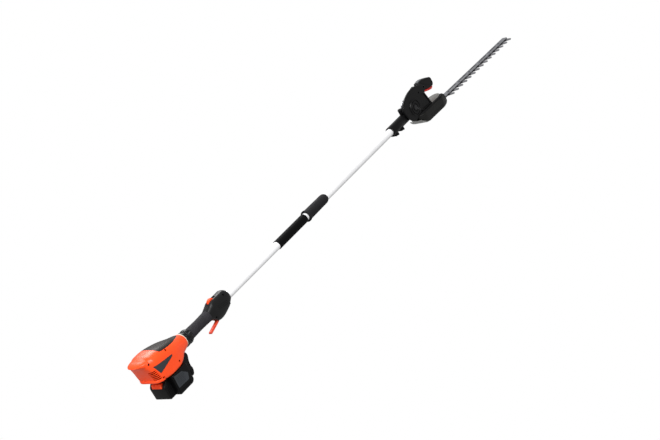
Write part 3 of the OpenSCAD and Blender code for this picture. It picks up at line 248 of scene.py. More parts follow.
@cache
def materials():
    """One finish for each material slot of the record, and those within a slot, made once."""
    s = settings()
    colours = (s.shell_colour, s.lever_colour, s.pole_colour)
    shell, lever, pole = ([255 * value for value in colour] for colour in colours)
    return dict(
        orange_plastic=moulded(
            "orange shell", shell, 0.36, 700, 6e-6, vary=0.05, gloss=0.32, wear=0.08
        ),
        red_plastic=moulded("red lever plastic", lever, 0.32, 700, 6e-6, vary=0.08),
        trigger_plastic=moulded(
            "trigger plastic", (215, 66, 38), 0.32, 900, 1e-5, coat=0.2, vary=0.06
        ),
        black_plastic=moulded("black moulding", (9, 9, 10), 0.37, 900, 3e-5, vary=0.15, gloss=0.16),
        switch_plastic=moulded("switch moulding", (13, 13, 14), 0.4, 900, 3e-5, vary=0.15),
        sleeve_plastic=moulded(
            "sleeve moulding", (6, 6, 7), 0.62, 900, 3e-5, vary=0.15, gloss=0.08
        ),
        case_plastic=moulded("gear case moulding", (24, 24, 23), 0.46, 900, 4e-5, gloss=0.18),
        cover_plastic=moulded("black cover", (30, 25, 21), 0.44, 1500, 4e-5, vary=0.1, gloss=0.16),
        charcoal_plastic=moulded("charcoal panel", (50, 53, 57), 0.4, 1500, 6e-5, vary=0.1),
        board_green=moulded("coated board", (28, 74, 44), 0.35, 900, 3e-5, coat=0.2),
        bush_plastic=moulded("nylon bush", (214, 208, 190), 0.45, 1200, 3e-5),
        # Darker than the case plastic, for the band along the gear case's top
        dark_band_finish=rubbery("dark band", (10, 10, 11), 900, 1e-4),
        grip_rubber=rubbery("grip rubber", (33, 32, 35), 1100, 2.2e-4),
        foam_rubber=rubbery("front grip rubber", (20, 20, 22), 1600, 1.5e-4),
        pole_white=coated("white tube coat", pole, 0.26),
        blade_steel=metallic("ground blade steel", (172, 173, 178), 0.32, DRAWN, 2e-5),
        # Its dark body colour is painted shadow under the guide bar; the bright teeth are ground
        # metal
        cutter_steel_painted_shadow=ground("ground cutter painted shadow", (60, 60, 63), (178, 178, 182), 0.3),
        zinc_steel=metallic("zinc plate", (140, 142, 146), 0.34, (200, 200, 200), 2e-5),
        dark_steel=metallic("black steel", (44, 44, 46), 0.42, (300, 300, 300), 3e-5, 0.6),
        gear_steel=metallic("machined gear steel", (118, 120, 124), 0.3, (500, 60, 500), 3e-5),
        laminations=metallic("motor laminations", (90, 94, 100), 0.45, (2200, 8, 8), 1e-4),
        copper_alloy=metallic("contact copper", (190, 140, 80), 0.3, (300, 300, 300), 2e-5),
        cast_alloy=cast("cast cap", (120, 119, 116), 0.5),
        skid_alloy=cast("bright skid", (165, 165, 163), 0.5),
    )


# ---- settings


class TrimmerSettings(bpy.types.PropertyGroup):
    """Sizes and colours that a user would change."""

    shell_colour: bpy.props.FloatVectorProperty(
        name="Shell colour", description="Colour of the motor housing",
        default=(0.985, 0.3, 0.095), min=0.0, max=1.0, subtype="COLOR_GAMMA",
    )
    lever_colour: bpy.props.FloatVectorProperty(
        name="Lever colour", description="Colour of the trigger and release lever",
        default=(0.88, 0.17, 0.14), min=0.0, max=1.0, subtype="COLOR_GAMMA",
    )
    pole_colour: bpy.props.FloatVectorProperty(
        name="Pole colour", description="Colour of the coated pole",
        default=(0.93, 0.93, 0.935), min=0.0, max=1.0, subtype="COLOR_GAMMA",
    )
    edge_radius: bpy.props.FloatProperty(
        name="Edge radius", description="Rounding on the edges of the clamp tube",
        default=0.0012, min=0.0, subtype="DISTANCE", unit="LENGTH",
    )
    rib_pitch: bpy.props.FloatProperty(
        name="Rib pitch", description="Distance between the rings of the front grip",
        default=0.003, min=0.001, subtype="DISTANCE", unit="LENGTH",
    )
    shell_wall: bpy.props.FloatProperty(
        name="Shell wall", description="Wall thickness of the motor housing",
        default=0.003, min=0.001, subtype="DISTANCE", unit="LENGTH",
    )


def settings():
    """The sizes and colours set for this scene."""
    return bpy.context.scene.trimmer_settings


# ---- shapes

MM = 0.001
# Points closer than this, in metres, are one
SAME_POINT = 2e-6
# The right and the left side
SIDES = (-1, 1)
# Faces that meet at more than this angle, in degrees, stay sharp
CREASE = 32
AXIS_Z = sum(corner.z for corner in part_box("pole_tube")) / 2 / MM
PIVOT = sum(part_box("pivot_bolt"), Vector()) / 2 / MM
DROOP = radians(1.4)


def on_axis(points):
    """Points measured from the pole's axis, moved to the shared frame."""
    return points + np.array([0, 0, AXIS_Z])


def on_floor(points):
    """Points measured from the battery's underside, as in the shared frame."""
    return points


def on_head(points):
    """Head's points, drooped about the pivot: x' = x cos + z sin, z' = z cos - x sin."""
    x, y, z = points.T
    c, s = cos(DROOP), sin(DROOP)
    return np.stack([x * c + z * s + PIVOT.x, y, z * c - x * s + PIVOT.z], -1)


def closed(rings):
    """Closed shell: faces join neighbouring rings, and the end rings are filled."""
    rings = np.asarray(rings, float)
    rows, cols = rings.shape[:2]
    a = np.arange(rows - 1)[:, None] * cols + np.arange(cols)
    b = np.roll(a, -1, 1)
    faces = np.stack([a, a + cols, b + cols, b], -1).reshape(-1, 4).tolist()
    faces += [list(range(cols)), list(range((rows - 1) * cols, rows * cols))]
    return rings.reshape(-1, 3), faces


def sheet(upper, lower):
    """Closed shell between two grids of the same size, each row of both making one ring."""
    return closed(np.concatenate([upper, lower[:, ::-1]], 1))


def laid(u, v, w, axis):
    """Points from two plan values and a third along the axis: plans are yz, xz and xy."""
    return np.stack({"x": (w, u, v), "y": (u, w, v), "z": (u, v, w)}[axis], -1)


def along(flat, level, axis):
    """Flat points lifted to a level along an axis."""
    u, v = np.asarray(flat, float).T
    return laid(u, v, np.full_like(u, level), axis)


def smooth(x, values, at):
    """Monotone cubic through rows of values: slope 2ab/(a+b) of its neighbours, 0 at a turn."""
    h = np.diff(x)[:, None]
    d = np.diff(values, axis=0) / h
    a, b = d[:-1], d[1:]
    same = a * b > 0
    inner = np.where(same, 2 * a * b / np.where(same, a + b, 1), 0)
    m = np.concatenate([d[:1], inner, d[-1:]])
    k = np.clip(np.searchsorted(x, at, side="right") - 1, 0, len(x) - 2)
    t = ((at - x[k]) / (x[k + 1] - x[k]))[:, None]
    step = h[k]
    p, q = values[k], values[k + 1]
    return (
        (2 * t**3 - 3 * t**2 + 1) * p
        + (t**3 - 2 * t**2 + t) * step * m[k]
        + (3 * t**2 - 2 * t**3) * q
        + (t**3 - t**2) * step * m[k + 1]
    )


def loft(stations, rows=80, around=120):
    """Skin over super-ellipses |y/w|^q + |(z-mid)/h|^q = 1, whose values run smoothly along x."""
    s = np.asarray(stations, float)
    x = np.linspace(s[0, 0], s[-1, 0], rows)
    w, top, bottom, above, below = smooth(s[:, 0], s[:, 1:], x).T[:, :, None]
    angle = np.linspace(0, 2 * np.pi, around, endpoint=False)[None]
    c, sn = np.cos(angle), np.sin(angle)
    q = np.where(sn > 0, above, below)
    r = (np.abs(c) ** q + np.abs(sn) ** q) ** (-1 / q)
    y = w * r * c
    z = (top + bottom) / 2 + (top - bottom) / 2 * r * sn
    return closed(np.stack([np.broadcast_to(x[:, None], y.shape), y, z], -1))


def side_width(stations, x, z):
    """Half width of the lofted skin at a place and height: w (1 - |(z-mid)/h|^q)^(1/q)."""
    s = np.asarray(stations, float)
    w, top, bottom, above, below = smooth(s[:, 0], s[:, 1:], np.ravel(x)).T
    mid, h = (top + bottom) / 2, (top - bottom) / 2
    v = (np.ravel(z) - mid) / h
    q = np.where(v > 0, above, below)
    y = w * np.maximum(1 - np.abs(v) ** q, 0) ** (1 / q)
    return y.reshape(np.shape(x))


def arc(cx, cy, r, a0, a1, n=16):
    """Points on an arc, angles in degrees."""
    a = np.radians(np.linspace(a0, a1, n + 1))
    return np.stack([cx + r * np.cos(a), cy + r * np.sin(a)], -1).tolist()


def eased(points, radius, steps=5):
    """Outline whose corners become short curves (1-t)^2 A + 2t(1-t) P + t^2 B."""
    p = np.asarray(points, float)
    before, after = np.roll(p, 1, 0) - p, np.roll(p, -1, 0) - p
    la = np.linalg.norm(before, axis=1)[:, None]
    lb = np.linalg.norm(after, axis=1)[:, None]
    a = p + before / la * np.minimum(radius, 0.45 * la)
    b = p + after / lb * np.minimum(radius, 0.45 * lb)
    t = np.linspace(0, 1, steps + 1)[None, :, None]
    curve = (1 - t) ** 2 * a[:, None] + 2 * t * (1 - t) * p[:, None] + t**2 * b[:, None]
    return curve.reshape(-1, 2)


def turned(flat, angle):
    """Flat points turned about the origin: (x cos - z sin, x sin + z cos)."""
    x, z = np.asarray(flat, float).T
    c, s = cos(angle), sin(angle)
    return np.stack([x * c - z * s, x * s + z * c], -1)


def inset(outline, by):
    """Outline moved inwards: each point goes along its two edges' mean normal n by 2d/|n|^2."""
    edge = np.roll(outline, -1, 0) - outline
    edge = edge / np.maximum(np.linalg.norm(edge, axis=1), 1e-9)[:, None]
    out = np.stack([edge[:, 1], -edge[:, 0]], -1)
    x, y = outline.T
    if np.sum(x * np.roll(y, -1) - y * np.roll(x, -1)) < 0:
        out = -out
    both = out + np.roll(out, 1, 0)
    return outline - both * by * 2 / np.maximum(np.sum(both * both, 1), 1.2)[:, None]


def slab(outline, low, high, rim, corner=2, axis="y"):
    """Outline pushed from low to high; its rims are quarter circles.

    At the angle t of a rim of radius r the outline is inset by r(1-sin t), r(1-cos t) deep.
    """
    flat = eased(outline, corner)
    t = np.linspace(0, np.pi / 2, 5)
    by, up = rim * (1 - np.sin(t)), rim * (1 - np.cos(t))
    levels = [(rim + 0.3, low), *zip(by, low + up)]
    levels += [(b, high - u) for b, u in zip(by[::-1], up[::-1])] + [(rim + 0.3, high)]
    return closed([along(inset(flat, b), level, axis) for b, level in levels])


def prism(outline, low, high, axis="y"):
    """Sharp-edged slab."""
    return closed([along(outline, low, axis), along(outline, high, axis)])


def box(low, high):
    """Straight block between two corners."""
    (x0, y0, z0), (x1, y1, z1) = low, high
    return prism([(x0, z0), (x1, z0), (x1, z1), (x0, z1)], y0, y1)


def lathe(profile, axis="x", centre=(0, 0, 0), around=72, bend=0, wave=None):
    """Profile of (place, radius) turned about an axis: (r cos a, r sin a) at each place.

    The radius is scaled by wave(angle, place), and bend eases the profile's corners.
    """
    p = np.asarray(profile, float)
    if bend:
        inner = eased(p, bend).reshape(len(p), -1, 2)[1:-1].reshape(-1, 2)
        p = np.concatenate([p[:1], inner, p[-1:]])
    a = np.linspace(0, 2 * np.pi, around, endpoint=False)[None]
    place, r = p[:, :1], p[:, 1:]
    if wave:
        r = r * wave(a, place)
    u, v = r * np.cos(a), r * np.sin(a)
    w = np.broadcast_to(place, u.shape)
    return closed(laid(u, v, w, axis) + np.asarray(centre, float))


def rod(radius, low, high, axis="y", centre=(0, 0, 0), around=32):
    """Straight round bar."""
    return lathe([(low, radius), (high, radius)], axis, centre, around)


def screw_holes(places, mouth, seat, end, head, shank):
    """Recesses for screw heads, from mouth to seat along y, and the holes of their shanks."""
    return [
        *[rod(head, mouth, seat, "y", (x, 0, z)) for x, z in places],
        *[rod(shank, seat - 1, end, "y", (x, 0, z)) for x, z in places],
    ]


def on_side(side, near, far):
    """The two distances from the middle plane on the left (1) or right (-1), lowest first."""
    return sorted((side * near, side * far))


# ---- pieces


def solid(name, shells, at=on_axis):
    """Mesh object of closed shells given in millimetres."""
    points, faces, start = [], [], 0
    for verts, polys in shells:
        points.append(verts)
        faces += [[start + i for i in poly] for poly in polys]
        start += len(verts)
    mesh = bpy.data.meshes.new(name)
    mesh.from_pydata((at(np.concatenate(points)) * MM).tolist(), [], faces)
    tidy_mesh(mesh)
    return add(name, mesh)


def add(name, data):
    """A new object in the scene."""
    obj = bpy.data.objects.new(name, data)
    bpy.context.collection.objects.link(obj)
    return obj


def tidy_mesh(mesh):
    """Merges doubles, turns faces outwards and cuts the many-sided ones into triangles."""
    bm = bmesh.new()
    bm.from_mesh(mesh)
    bmesh.ops.remove_doubles(bm, verts=bm.verts, dist=SAME_POINT)
    bmesh.ops.recalc_face_normals(bm, faces=bm.faces)
    bmesh.ops.triangulate(bm, faces=[face for face in bm.faces if len(face.verts) > 4])
    bm.to_mesh(mesh)
    bm.free()


def bake(obj):
    """Makes the result of the modifiers the object's own mesh."""
    graph = bpy.context.evaluated_depsgraph_get()
    done = bpy.data.meshes.new_from_object(obj.evaluated_get(graph))
    if not done.polygons:
        raise RuntimeError(obj.name + " came out empty")
    obj.modifiers.clear()
    obj.data = done


def fuse(obj, cell, passes):
    """Melts overlapping shells into one skin, with soft fillets where they meet."""
    melt = obj.modifiers.new("melt", "REMESH")
    melt.mode = "VOXEL"
    melt.voxel_size = cell * MM
    soften = obj.modifiers.new("soften", "SMOOTH")
    soften.iterations = passes
    bake(obj)


def carve(obj, cutters, at=on_axis, how="DIFFERENCE"):
    """Cuts shells one by one, or an object, out of obj, or keeps or adds what they hold."""
    whole = isinstance(cutters, bpy.types.Object)
    for cutter in [cutters] if whole else cutters:
        tool = cutter if whole else solid("cutter", [cutter], at)
        cut = obj.modifiers.new("carve", "BOOLEAN")
        cut.operation = how
        cut.solver = "MANIFOLD"
        cut.object = tool
        bake(obj)
        bpy.data.objects.remove(tool)


def twin(obj, name):
    """A second object with a copy of the mesh."""
    return add(name, obj.data.copy())


def dress(obj, slot, body, nodes=(), crease=CREASE, finish=None):
    """Shading, finish, body and the fixed nodes that the piece stands for."""
    mesh = obj.data
    mesh.materials.clear()
    mesh.materials.append(materials()[finish or slot])
    mesh.shade_smooth()
    mesh.set_sharp_from_angle(angle=radians(crease))
    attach(obj, body)
    if nodes:
        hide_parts(*nodes)


def rounded_copy(node, slot, body, width):
    """The fixed node's own shape, its sharp edges rounded by a bevel of a width in metres."""
    mesh = NODES[node].data.copy()
    bm = bmesh.new()
    bm.from_mesh(mesh)
    bmesh.ops.remove_doubles(bm, verts=bm.verts, dist=SAME_POINT)
    flat = radians(1)
    bmesh.ops.dissolve_limit(bm, angle_limit=flat, verts=bm.verts, edges=bm.edges)
    bm.to_mesh(mesh)
    bm.free()
    obj = add(node + "_rounded", mesh)
    bevel = obj.modifiers.new("rounding", "BEVEL")
    bevel.width = width
    bevel.segments = 2
    bevel.limit_method = "ANGLE"
    bevel.angle_limit = radians(CREASE)
    bake(obj)
    dress(obj, slot, body, [node])


# ---- motor housing

# Sections along the pole: place, half width, top, bottom, squareness above and below
HOUSING = [
    (-91, 22.1, 49.3, 33.9, 2.4, 2.4),
    (-85, 31.7, 51.4, 22.3, 2.6, 2.8),
    (-75, 38.9, 53.5, -3.6, 2.8, 3.6),
    (-70, 41.3, 54.1, -22.8, 2.9, 4.5),
    (-59, 46.6, 55.1, -24, 3, 8),
    (-40, 48, 55.1, -27.6, 3, 16),
    (-16, 48, 52.5, -30, 3, 18),
    (10, 46.6, 47.2, -30, 2.9, 16),
    (35, 41.8, 40.8, -29.1, 2.7, 7),
    (58, 34.1, 32.9, -25.2, 2.5, 3),
    (82, 26.9, 26, -22.2, 2.3, 2.3),
    (92, 23.5, 22.3, -20.1, 2.2, 2.2),
]
VISOR = [
    (-105, 7, 45.6, 44.6, 2.1, 2.1),
    (-103, 14, 47.2, 42.6, 2.2, 2.2),
    (-97, 23, 49.8, 38.5, 2.4, 2.4),
    (-88, 30.5, 51.8, 31, 2.6, 2.6),
    (-74, 35.5, 53, 22, 2.8, 2.8),
]
# Corners of the side's recess and of the plate in it, as places and heights
RECESS = [(-70, 27), (4, 18), (2, 12), (-59, -2)]
PLATE = [(-69.4, 26.5), (3.4, 17.6), (1.6, 12.4), (-58.8, -1.2)]
# Vents on each side: number, height of the first and step down to the next
VENTS, VENT_TOP, VENT_STEP = 6, 18.5, 5.4
HOUSING_SCREWS = [(-6, 37.1), (-75, 38.2), (17, -15), (-57, -16.8)]
# Radius of the pole's hole in both housings
POLE_HOLE = 12.7


def inner_housing(more=0):
    """The housing's sections moved one wall, and a given distance, further in."""
    wall = settings().shell_wall / MM + more
    return [
        (x + (wall if x < -60 else 0), w - wall, top - wall, bottom + wall, above, below)
        for x, w, top, bottom, above, below in HOUSING[1:-1]
    ]


def cover_zone(clear):
    """Part of the housing's top that the black cover takes, with a rounded rear corner."""
    outline = [(-28 - clear, 45 - clear), (85, 25.2 - clear), (100, 80), (-28 - clear, 80)]
    return prism(eased(outline, 9)[:6].tolist() + outline[1:], -70, 70)


def side_patch(corners, inside=None):
    """Grid that runs evenly between four corners on the right side.

    It lies a distance inside the housing's skin, or well outside it where none is given.
    """
    a, b, c, d = np.asarray(corners, float)
    u = np.linspace(0, 1, 24)[:, None, None]
    v = np.linspace(0, 1, 10)[None, :, None]
    flat = (1 - v) * ((1 - u) * a + u * b) + v * ((1 - u) * d + u * c)
    x, z = flat[..., 0], flat[..., 1]
    y = np.full_like(x, -70) if inside is None else inside - side_width(HOUSING, x, z)
    return np.stack([x, y, z], -1)


def vent_cutters():
    """Slots round the rear right corner and slanting ones on the left side."""
    shells = []
    for k in range(VENTS):
        z = VENT_TOP - VENT_STEP * k
        outline = [(-22, z - 4.5), (-22, z - 7.7), (-50, z - 5.7), (-50, z - 1.7)]
        shells.append(prism(outline, -96, -68 + 1.2 * k, "x"))
        outline = [(-71, z + 1.5), (-71, z - 1.5), (-50, z - 5), (-50, z - 2)]
        shells.append(prism(outline, 34, 60))
    return shells


class TRIMMER_OT_housing(bpy.types.Operator):
    """Orange motor housing, its black top cover and the bare name plate on its side"""

    bl_idname = "trimmer.housing"
    bl_label = "Motor Housing"

    def execute(self, context):
        corners = [*arc(-50, 22.4, 26, 90, 180, 8), *arc(-50, -22.4, 26, 180, 270, 8)]
        lip = slab([(-50, 46.4), *corners[:-1]], -24, -17, 1.5, 1, "z")
        shell = solid("motor_shell", [loft(HOUSING), loft(VISOR, 40, 80), lip])
        fuse(shell, 1.15, 6)
        cover = twin(shell, "top_cover_skin")
        hollow = solid("hollow", [loft(inner_housing(), 50, 80)])
        carve(hollow, [box((-100, -29, -40), (36, 29, -21))])
        spare = twin(hollow, "spare")
        carve(shell, hollow)
        carve(cover, spare)
        pole = rod(POLE_HOLE, 54, 99, "x")
        cuts = [
            cover_zone(0.15),
            box((-130, -26.3, -60), (33.3, 26.3, -23.7)),
            box((33.3, -22, -28.9), (37.3, 22, -25)),
            pole,
            sheet(side_patch(RECESS), side_patch(RECESS, 2)),
            *screw_holes(HOUSING_SCREWS, -60, -31, 14, 3.5, 2),
            *vent_cutters(),
        ]
        carve(shell, cuts)
        carve(cover, [cover_zone(0)], on_axis, "INTERSECT")
        carve(cover, [pole])
        self.painted_vent_shade()
        plate = sheet(side_patch(PLATE, 0.9), side_patch(PLATE, 2.3))
        plate = solid("name_plate", [plate])
        dress(shell, "orange_plastic", "frame", ["housing_left", "housing_right"])
        dress(cover, "black_plastic", "frame", ["top_cover"], finish="cover_plastic")
        dress(plate, "charcoal_plastic", "frame", ["label_plate"])
        return {"FINISHED"}

    def painted_vent_shade(self):
        """Near-black sheet inside the housing behind the vents, painted shade that darkens the
        slots, clear of the screws.
        """
        painted_vent_shade = solid("vent_painted_shade", [loft(inner_housing(0.1), 50, 80)])
        carve(painted_vent_shade, [loft(inner_housing(1.6), 50, 80)])
        carve(painted_vent_shade, [box((-95, -60, -20), (-42, 60, 28))], on_axis, "INTERSECT")
        carve(painted_vent_shade, [rod(3.8, -60, 60, "y", (x, 0, z)) for x, z in HOUSING_SCREWS])
        # Painted shade: the near-black finish makes the vents read as shaded slots
        dress(painted_vent_shade, "black_plastic", "frame", finish="sleeve_plastic")


# ---- battery and guard


class TRIMMER_OT_battery(bpy.types.Operator):
    """Battery pack with its side panels, its latch and the guard in front of it"""

    bl_idname = "trimmer.battery"
    bl_label = "Battery"

    def execute(self, context):
        body = slab([(-33, 0), (25, 0), (33, 8), (33, 61), (-33, 61)], -48, 48, 3.5, 5)
        tail = [(-57, 2), (-28, 2), (-28, 61), (-41, 61), (-60, 41.5)]
        rail = [(-41, 56), (33, 56), (33, 67.8), (-41, 67.8)]
        block = solid("battery_pack", [body], on_floor)
        more = [slab(tail, -30, 30, 3, 5), slab(rail, -26, 26, 0.8, 1)]
        carve(block, more, on_floor, "UNION")
        panel = [(-29, 20), (16, 18), (23, 36), (5, 52), (-29, 57)]
        cuts = [box((-70, -19.3, 39.7), (-44.7, 19.3, 52.3))]
        cuts += [prism(inset(eased(panel, 3), -0.3), s * 46.4, s * 60) for s in SIDES]
        cuts += [box((11, y - 1.5, 62), (34, y + 1.5, 70)) for y in (-15, -5, 5, 15)]
        for s in SIDES:
            cuts += [rod(1.5, 4, 38, "z", (x, s * 30, 0)) for x in (-52, -47, -42, -37)]
            low, high = on_side(s, 46.9, 50)
            cuts += [box((-31.5, low, -1), (-30.6, high, 62))]
            cuts += [prism([(-29, 9), (18, 9), (20.5, 14), (-29, 15.5)], *on_side(s, 47, 50))]
        carve(block, cuts, on_floor)
        dress(block, "black_plastic", "battery", ["battery_case"])
        self.panels(panel)
        self.latch()
        self.guard()
        return {"FINISHED"}

    def panels(self, outline):
        """Side panels with six grip slots each, the upper ones longer."""
        slabs = [slab(outline, s * 47.3 - 0.9, s * 47.3 + 0.9, 0.7, 3) for s in SIDES]
        panels = solid("battery_side_panels", slabs, on_floor)
        for s in SIDES:
            low, high = s * 48.2 - 0.7, s * 48.2 + 0.7
            rows = [(24 + 4.5 * k, 4 + 1.2 * k) for k in range(6)]
            cuts = [box((-24, low, z), (end, high, z + 1.5)) for z, end in rows]
            carve(panels, cuts, on_floor)
        dress(panels, "charcoal_plastic", "battery", ["battery_panels"])

    def latch(self):
        """Sloping key with four finger grooves."""
        key = slab([(-61, 40), (-48.3, 40), (-48.3, 52), (-58, 52)], -19, 19, 1.2, 2)
        latch = solid("battery_latch_key", [key], on_floor)
        rows = [(42.3 + 2.3 * k, 43.2 + 2.3 * k, -58.6 + 0.6 * k) for k in range(4)]
        cuts = [box((-62, -13, low), (end, 13, high)) for low, high, end in rows]
        carve(latch, cuts, on_floor)
        dress(latch, "orange_plastic", "latch", ["battery_latch"])

    def guard(self):
        """Side outline and front outline crossed, less the room for the housing above."""
        side = [
            (33.4, 14.7), (41, 16.5), (46, 26), (47.3, 39.7), (58, 47), (72, 60), (73, 69),
            (33.4, 74),
        ]
        front = [
            (-48, 14.7), (48, 14.7), (48, 32), (41.5, 40.5), (30, 47), (14, 73), (-14, 73),
            (-30, 47), (-41.5, 40.5), (-48, 32),
        ]
        guard = solid("battery_bumper", [slab(side, -48, 48, 3, 4)], on_floor)
        carve(guard, [slab(front, 20, 90, 0.4, 6, "x")], on_floor, "INTERSECT")
        room = [
            (x, w + 0.3, top + 0.3, bottom - (8 if x < 33 else 0.3), above, below)
            for x, w, top, bottom, above, below in HOUSING
        ]
        carve(guard, [loft(room), box((33.2, -22.1, -29), (37.4, 22.1, -24.9))])
        carve(guard, [box((44.5, -34, z), (50, 34, z + 1.6)) for z in (21, 26, 31)], on_floor)
        dress(guard, "black_plastic", "frame", ["battery_guard"])


# ---- rear handle

# Sections of the switch housing, as those of the motor housing
SWITCH = [
    (218, 16.4, 16, -19, 2.3, 2.3),
    (232, 17.9, 22, -25, 2.5, 2.5),
    (246, 19, 28, -36, 2.8, 2.8),
    (260, 19, 29, -38, 2.8, 2.8),
    (302, 19, 29, -27, 2.8, 2.8),
    (313, 17.9, 25, -19, 2.5, 2.5),
    (320, 15.2, 17, -15, 2.3, 2.3),
]
SWITCH_SCREWS = [(234, -17.8), (307, -17.6), (295, 19.5)]
TRIGGER_PIN = (268, -25)
LOCK_PIN = (268, 19)
# The collar and the rear grip lie a little below the pole's axis
GRIP_AXIS = (0, 0, -2)


def lever_hole(pin):
    """Hole in a lever, 0.04 mm wider all round than its pin."""
    return rod(2.04, -20, 20, "y", (pin[0], 0, pin[1]))


def scallops(angle, place):
    """Eight finger scallops that fade in past the flange."""
    dip = np.clip(np.cos(8 * angle) - 0.1, 0, 1) / 0.9
    return 1 - 0.085 * dip * np.clip((place - 98.5) / 2.5, 0, 1)


def knurl(angle, place):
    """Crossed fine threads: two sine waves that run opposite ways round the grip."""
    wave = np.sin(20 * angle + 1.4 * place) * np.sin(20 * angle - 1.4 * place)
    ends = np.clip((place - 129) / 3, 0, 1) * np.clip((216 - place) / 3, 0, 1)
    return 1 - 0.035 * (0.5 - 0.5 * wave) * ends


class TRIMMER_OT_rear_handle(bpy.types.Operator):
    """Collar, rubber grip, switch housing, trigger and lock-off lever"""

    bl_idname = "trimmer.rear_handle"
    bl_label = "Rear Handle"

    def execute(self, context):
        ring = [(91.6, 0), (91.6, 21.2), (92.6, 21.9), (95.2, 21.9), (95.6, 20), (95.6, 0)]
        ring = solid("neck_ring", [lathe(ring)])
        dress(ring, "bush_plastic", "frame")
        collar = [
            (95.4, 0), (95.4, 20.5), (96.2, 22.5), (104.5, 22.5), (107.2, 20.2), (110, 20.2),
            (112, 22.5), (120, 22.3), (127, 18.6), (127, 0),
        ]
        collar = lathe(collar, "x", GRIP_AXIS, 160, 1.2, scallops)
        collar = solid("scalloped_collar", [collar])
        dress(collar, "black_plastic", "frame", ["collar"], 40, "switch_plastic")
        place = np.linspace(127.2, 218, 240)
        barrel = 17 + 0.5 * np.cos((place - 127) / 91 * 2 * np.pi)
        grip = [(127.2, 0), *zip(place, barrel), (218, 0)]
        grip = solid("knurled_grip", [lathe(grip, "x", GRIP_AXIS, 156, wave=knurl)])
        dress(grip, "grip_rubber", "frame", ["rubber_grip"], 50)
        self.switch_housing()
        self.trigger()
        self.lock_off()
        return {"FINISHED"}

    def switch_housing(self):
        """Lofted shell, split down the middle, with slots for its two levers."""
        body = solid("switch_shell", [loft(SWITCH, 90, 96)])
        cuts = [
            rod(POLE_HOLE, 210, 330, "x", around=64),
            prism([(217, -14), (282, -14), (282, -31), (258, -60), (217, -60)], -6.8, 6.8),
            box((284, -6, -26), (304, 6, -12.5)),
            box((238, -5.3, 13.5), (276, 5.3, 43.5)),
            box((215, -0.15, -60), (322, 0.15, 60)),
            *screw_holes(SWITCH_SCREWS, -30, -10, 12, 3.25, 1.9),
            *[rod(2, -12, 12, "y", (x, 0, z)) for x, z in (TRIGGER_PIN, LOCK_PIN)],
            *[sheet(*groove) for groove in self.grooves()],
        ]
        carve(body, cuts)
        halves = ["switch_housing_left", "switch_housing_right"]
        dress(body, "black_plastic", "frame", halves, finish="switch_plastic")

    def grooves(self):
        """Three shallow slanting grooves on each side, following the skin 0.8 mm deep."""
        for k in range(3):
            x = np.linspace(252, 296, 24)[:, None] + np.array([[0, 0.4]])
            z = np.linspace(6 - 5 * k, -1 - 5 * k, 24)[:, None] + np.array([[0, 1.5]])
            y = side_width(SWITCH, x, z)
            for s in SIDES:
                yield np.stack([x, s * (y - 0.8), z], -1), np.stack([x, s * (y + 4), z], -1)

    def trigger(self):
        """Long flat blade, turned down about its pin."""
        outline = [
            *arc(0, 0, 6, -90, 90, 10), (-18, 4.6), (-30, -1.4), (-66, -3.2),
            *arc(-70, -6.2, 2.9, 90, 270, 8), (-30, -8.2), (-18, -6.6),
        ]
        outline = turned(outline, radians(14)) + TRIGGER_PIN
        trigger = solid("trigger_blade", [slab(outline, -5.6, 5.6, 1.8, 1.5)])
        carve(trigger, [lever_hole(TRIGGER_PIN)])
        dress(trigger, "red_plastic", "trigger_lever", ["trigger"], finish="trigger_plastic")

    def lock_off(self):
        """Humped key on top of the switch housing."""
        outline = [
            *arc(0, 0, 4.4, -90, 60, 8), (-6, 13), (-14, 15.5), (-24, 12), (-27, 4), (-24, -1),
            (-8, -2.5),
        ]
        outline = np.asarray(outline) + LOCK_PIN
        lever = solid("lock_off_key", [slab(outline, -5, 5, 1.6, 2)])
        carve(lever, [lever_hole(LOCK_PIN)])
        dress(lever, "orange_plastic", "lock_lever", ["lock_off_lever"])


# ---- pole


def ribs(angle, place):
    """Fine rings round the front grip that fade out at both ends."""
    ends = np.clip((place - 781) / 4, 0, 1) * np.clip((876 - place) / 6, 0, 1)
    turns = place * 2 * np.pi * MM / settings().rib_pitch
    return 1 - 0.022 * (0.5 - 0.5 * np.cos(turns)) * ends


class TRIMMER_OT_pole(bpy.types.Operator):
    """Sleeve and front grip on the pole"""

    bl_idname = "trimmer.pole"
    bl_label = "Pole Grips"

    def execute(self, context):
        sleeve = [(597, 12), (597, 13.4), (600, 15), (757, 15), (760, 13.6), (760, 12)]
        sleeve = solid("pole_sleeve_skin", [lathe(sleeve, bend=0.8)])
        dress(sleeve, "black_plastic", "frame", ["pole_sleeve"], finish="sleeve_plastic")
        place = np.linspace(779, 878, 260)
        body = 17.5 - 1 * (place - 779) / 99
        grip = [(769, 12), (769, 18), (770, 19.5), (774, 19.5), (777, 17.8), *zip(place, body)]
        grip += [(882, 15.6), (885.5, 14.2), (888, 12.6), (888, 12)]
        grip = solid("front_grip_skin", [lathe(grip, around=96, wave=ribs)])
        dress(grip, "foam_rubber", "frame", ["front_grip"], 45)
        return {"FINISHED"}


# ---- cutter head

# Inner and outer face of the shells, from the middle
SHELL_IN, SHELL_OUT = 14.3, 23.3
# Outline of the index sector, of the web that carries it and of the hollow panel in that
SECTOR = [
    *arc(25, -85, 147, 75, 126, 14), (-68, 26), (-70.5, 17), (-66, 2), (-55, -17), (-40, -32),
    (-20, -44), (10, -32), (107, -32), (86, 18), (99, 27), (98, 40), (84, 51),
]
WEB = [
    *arc(0, 0, 22, 75, 245, 16), (10, -32), (107, -32), (86, 18), (99, 27), (99, 42), (86, 47),
    (60, 42), (38, 30),
]
PANEL = [(42, 13), (38, -25), (97, -27), (79, 17), (58, 26)]
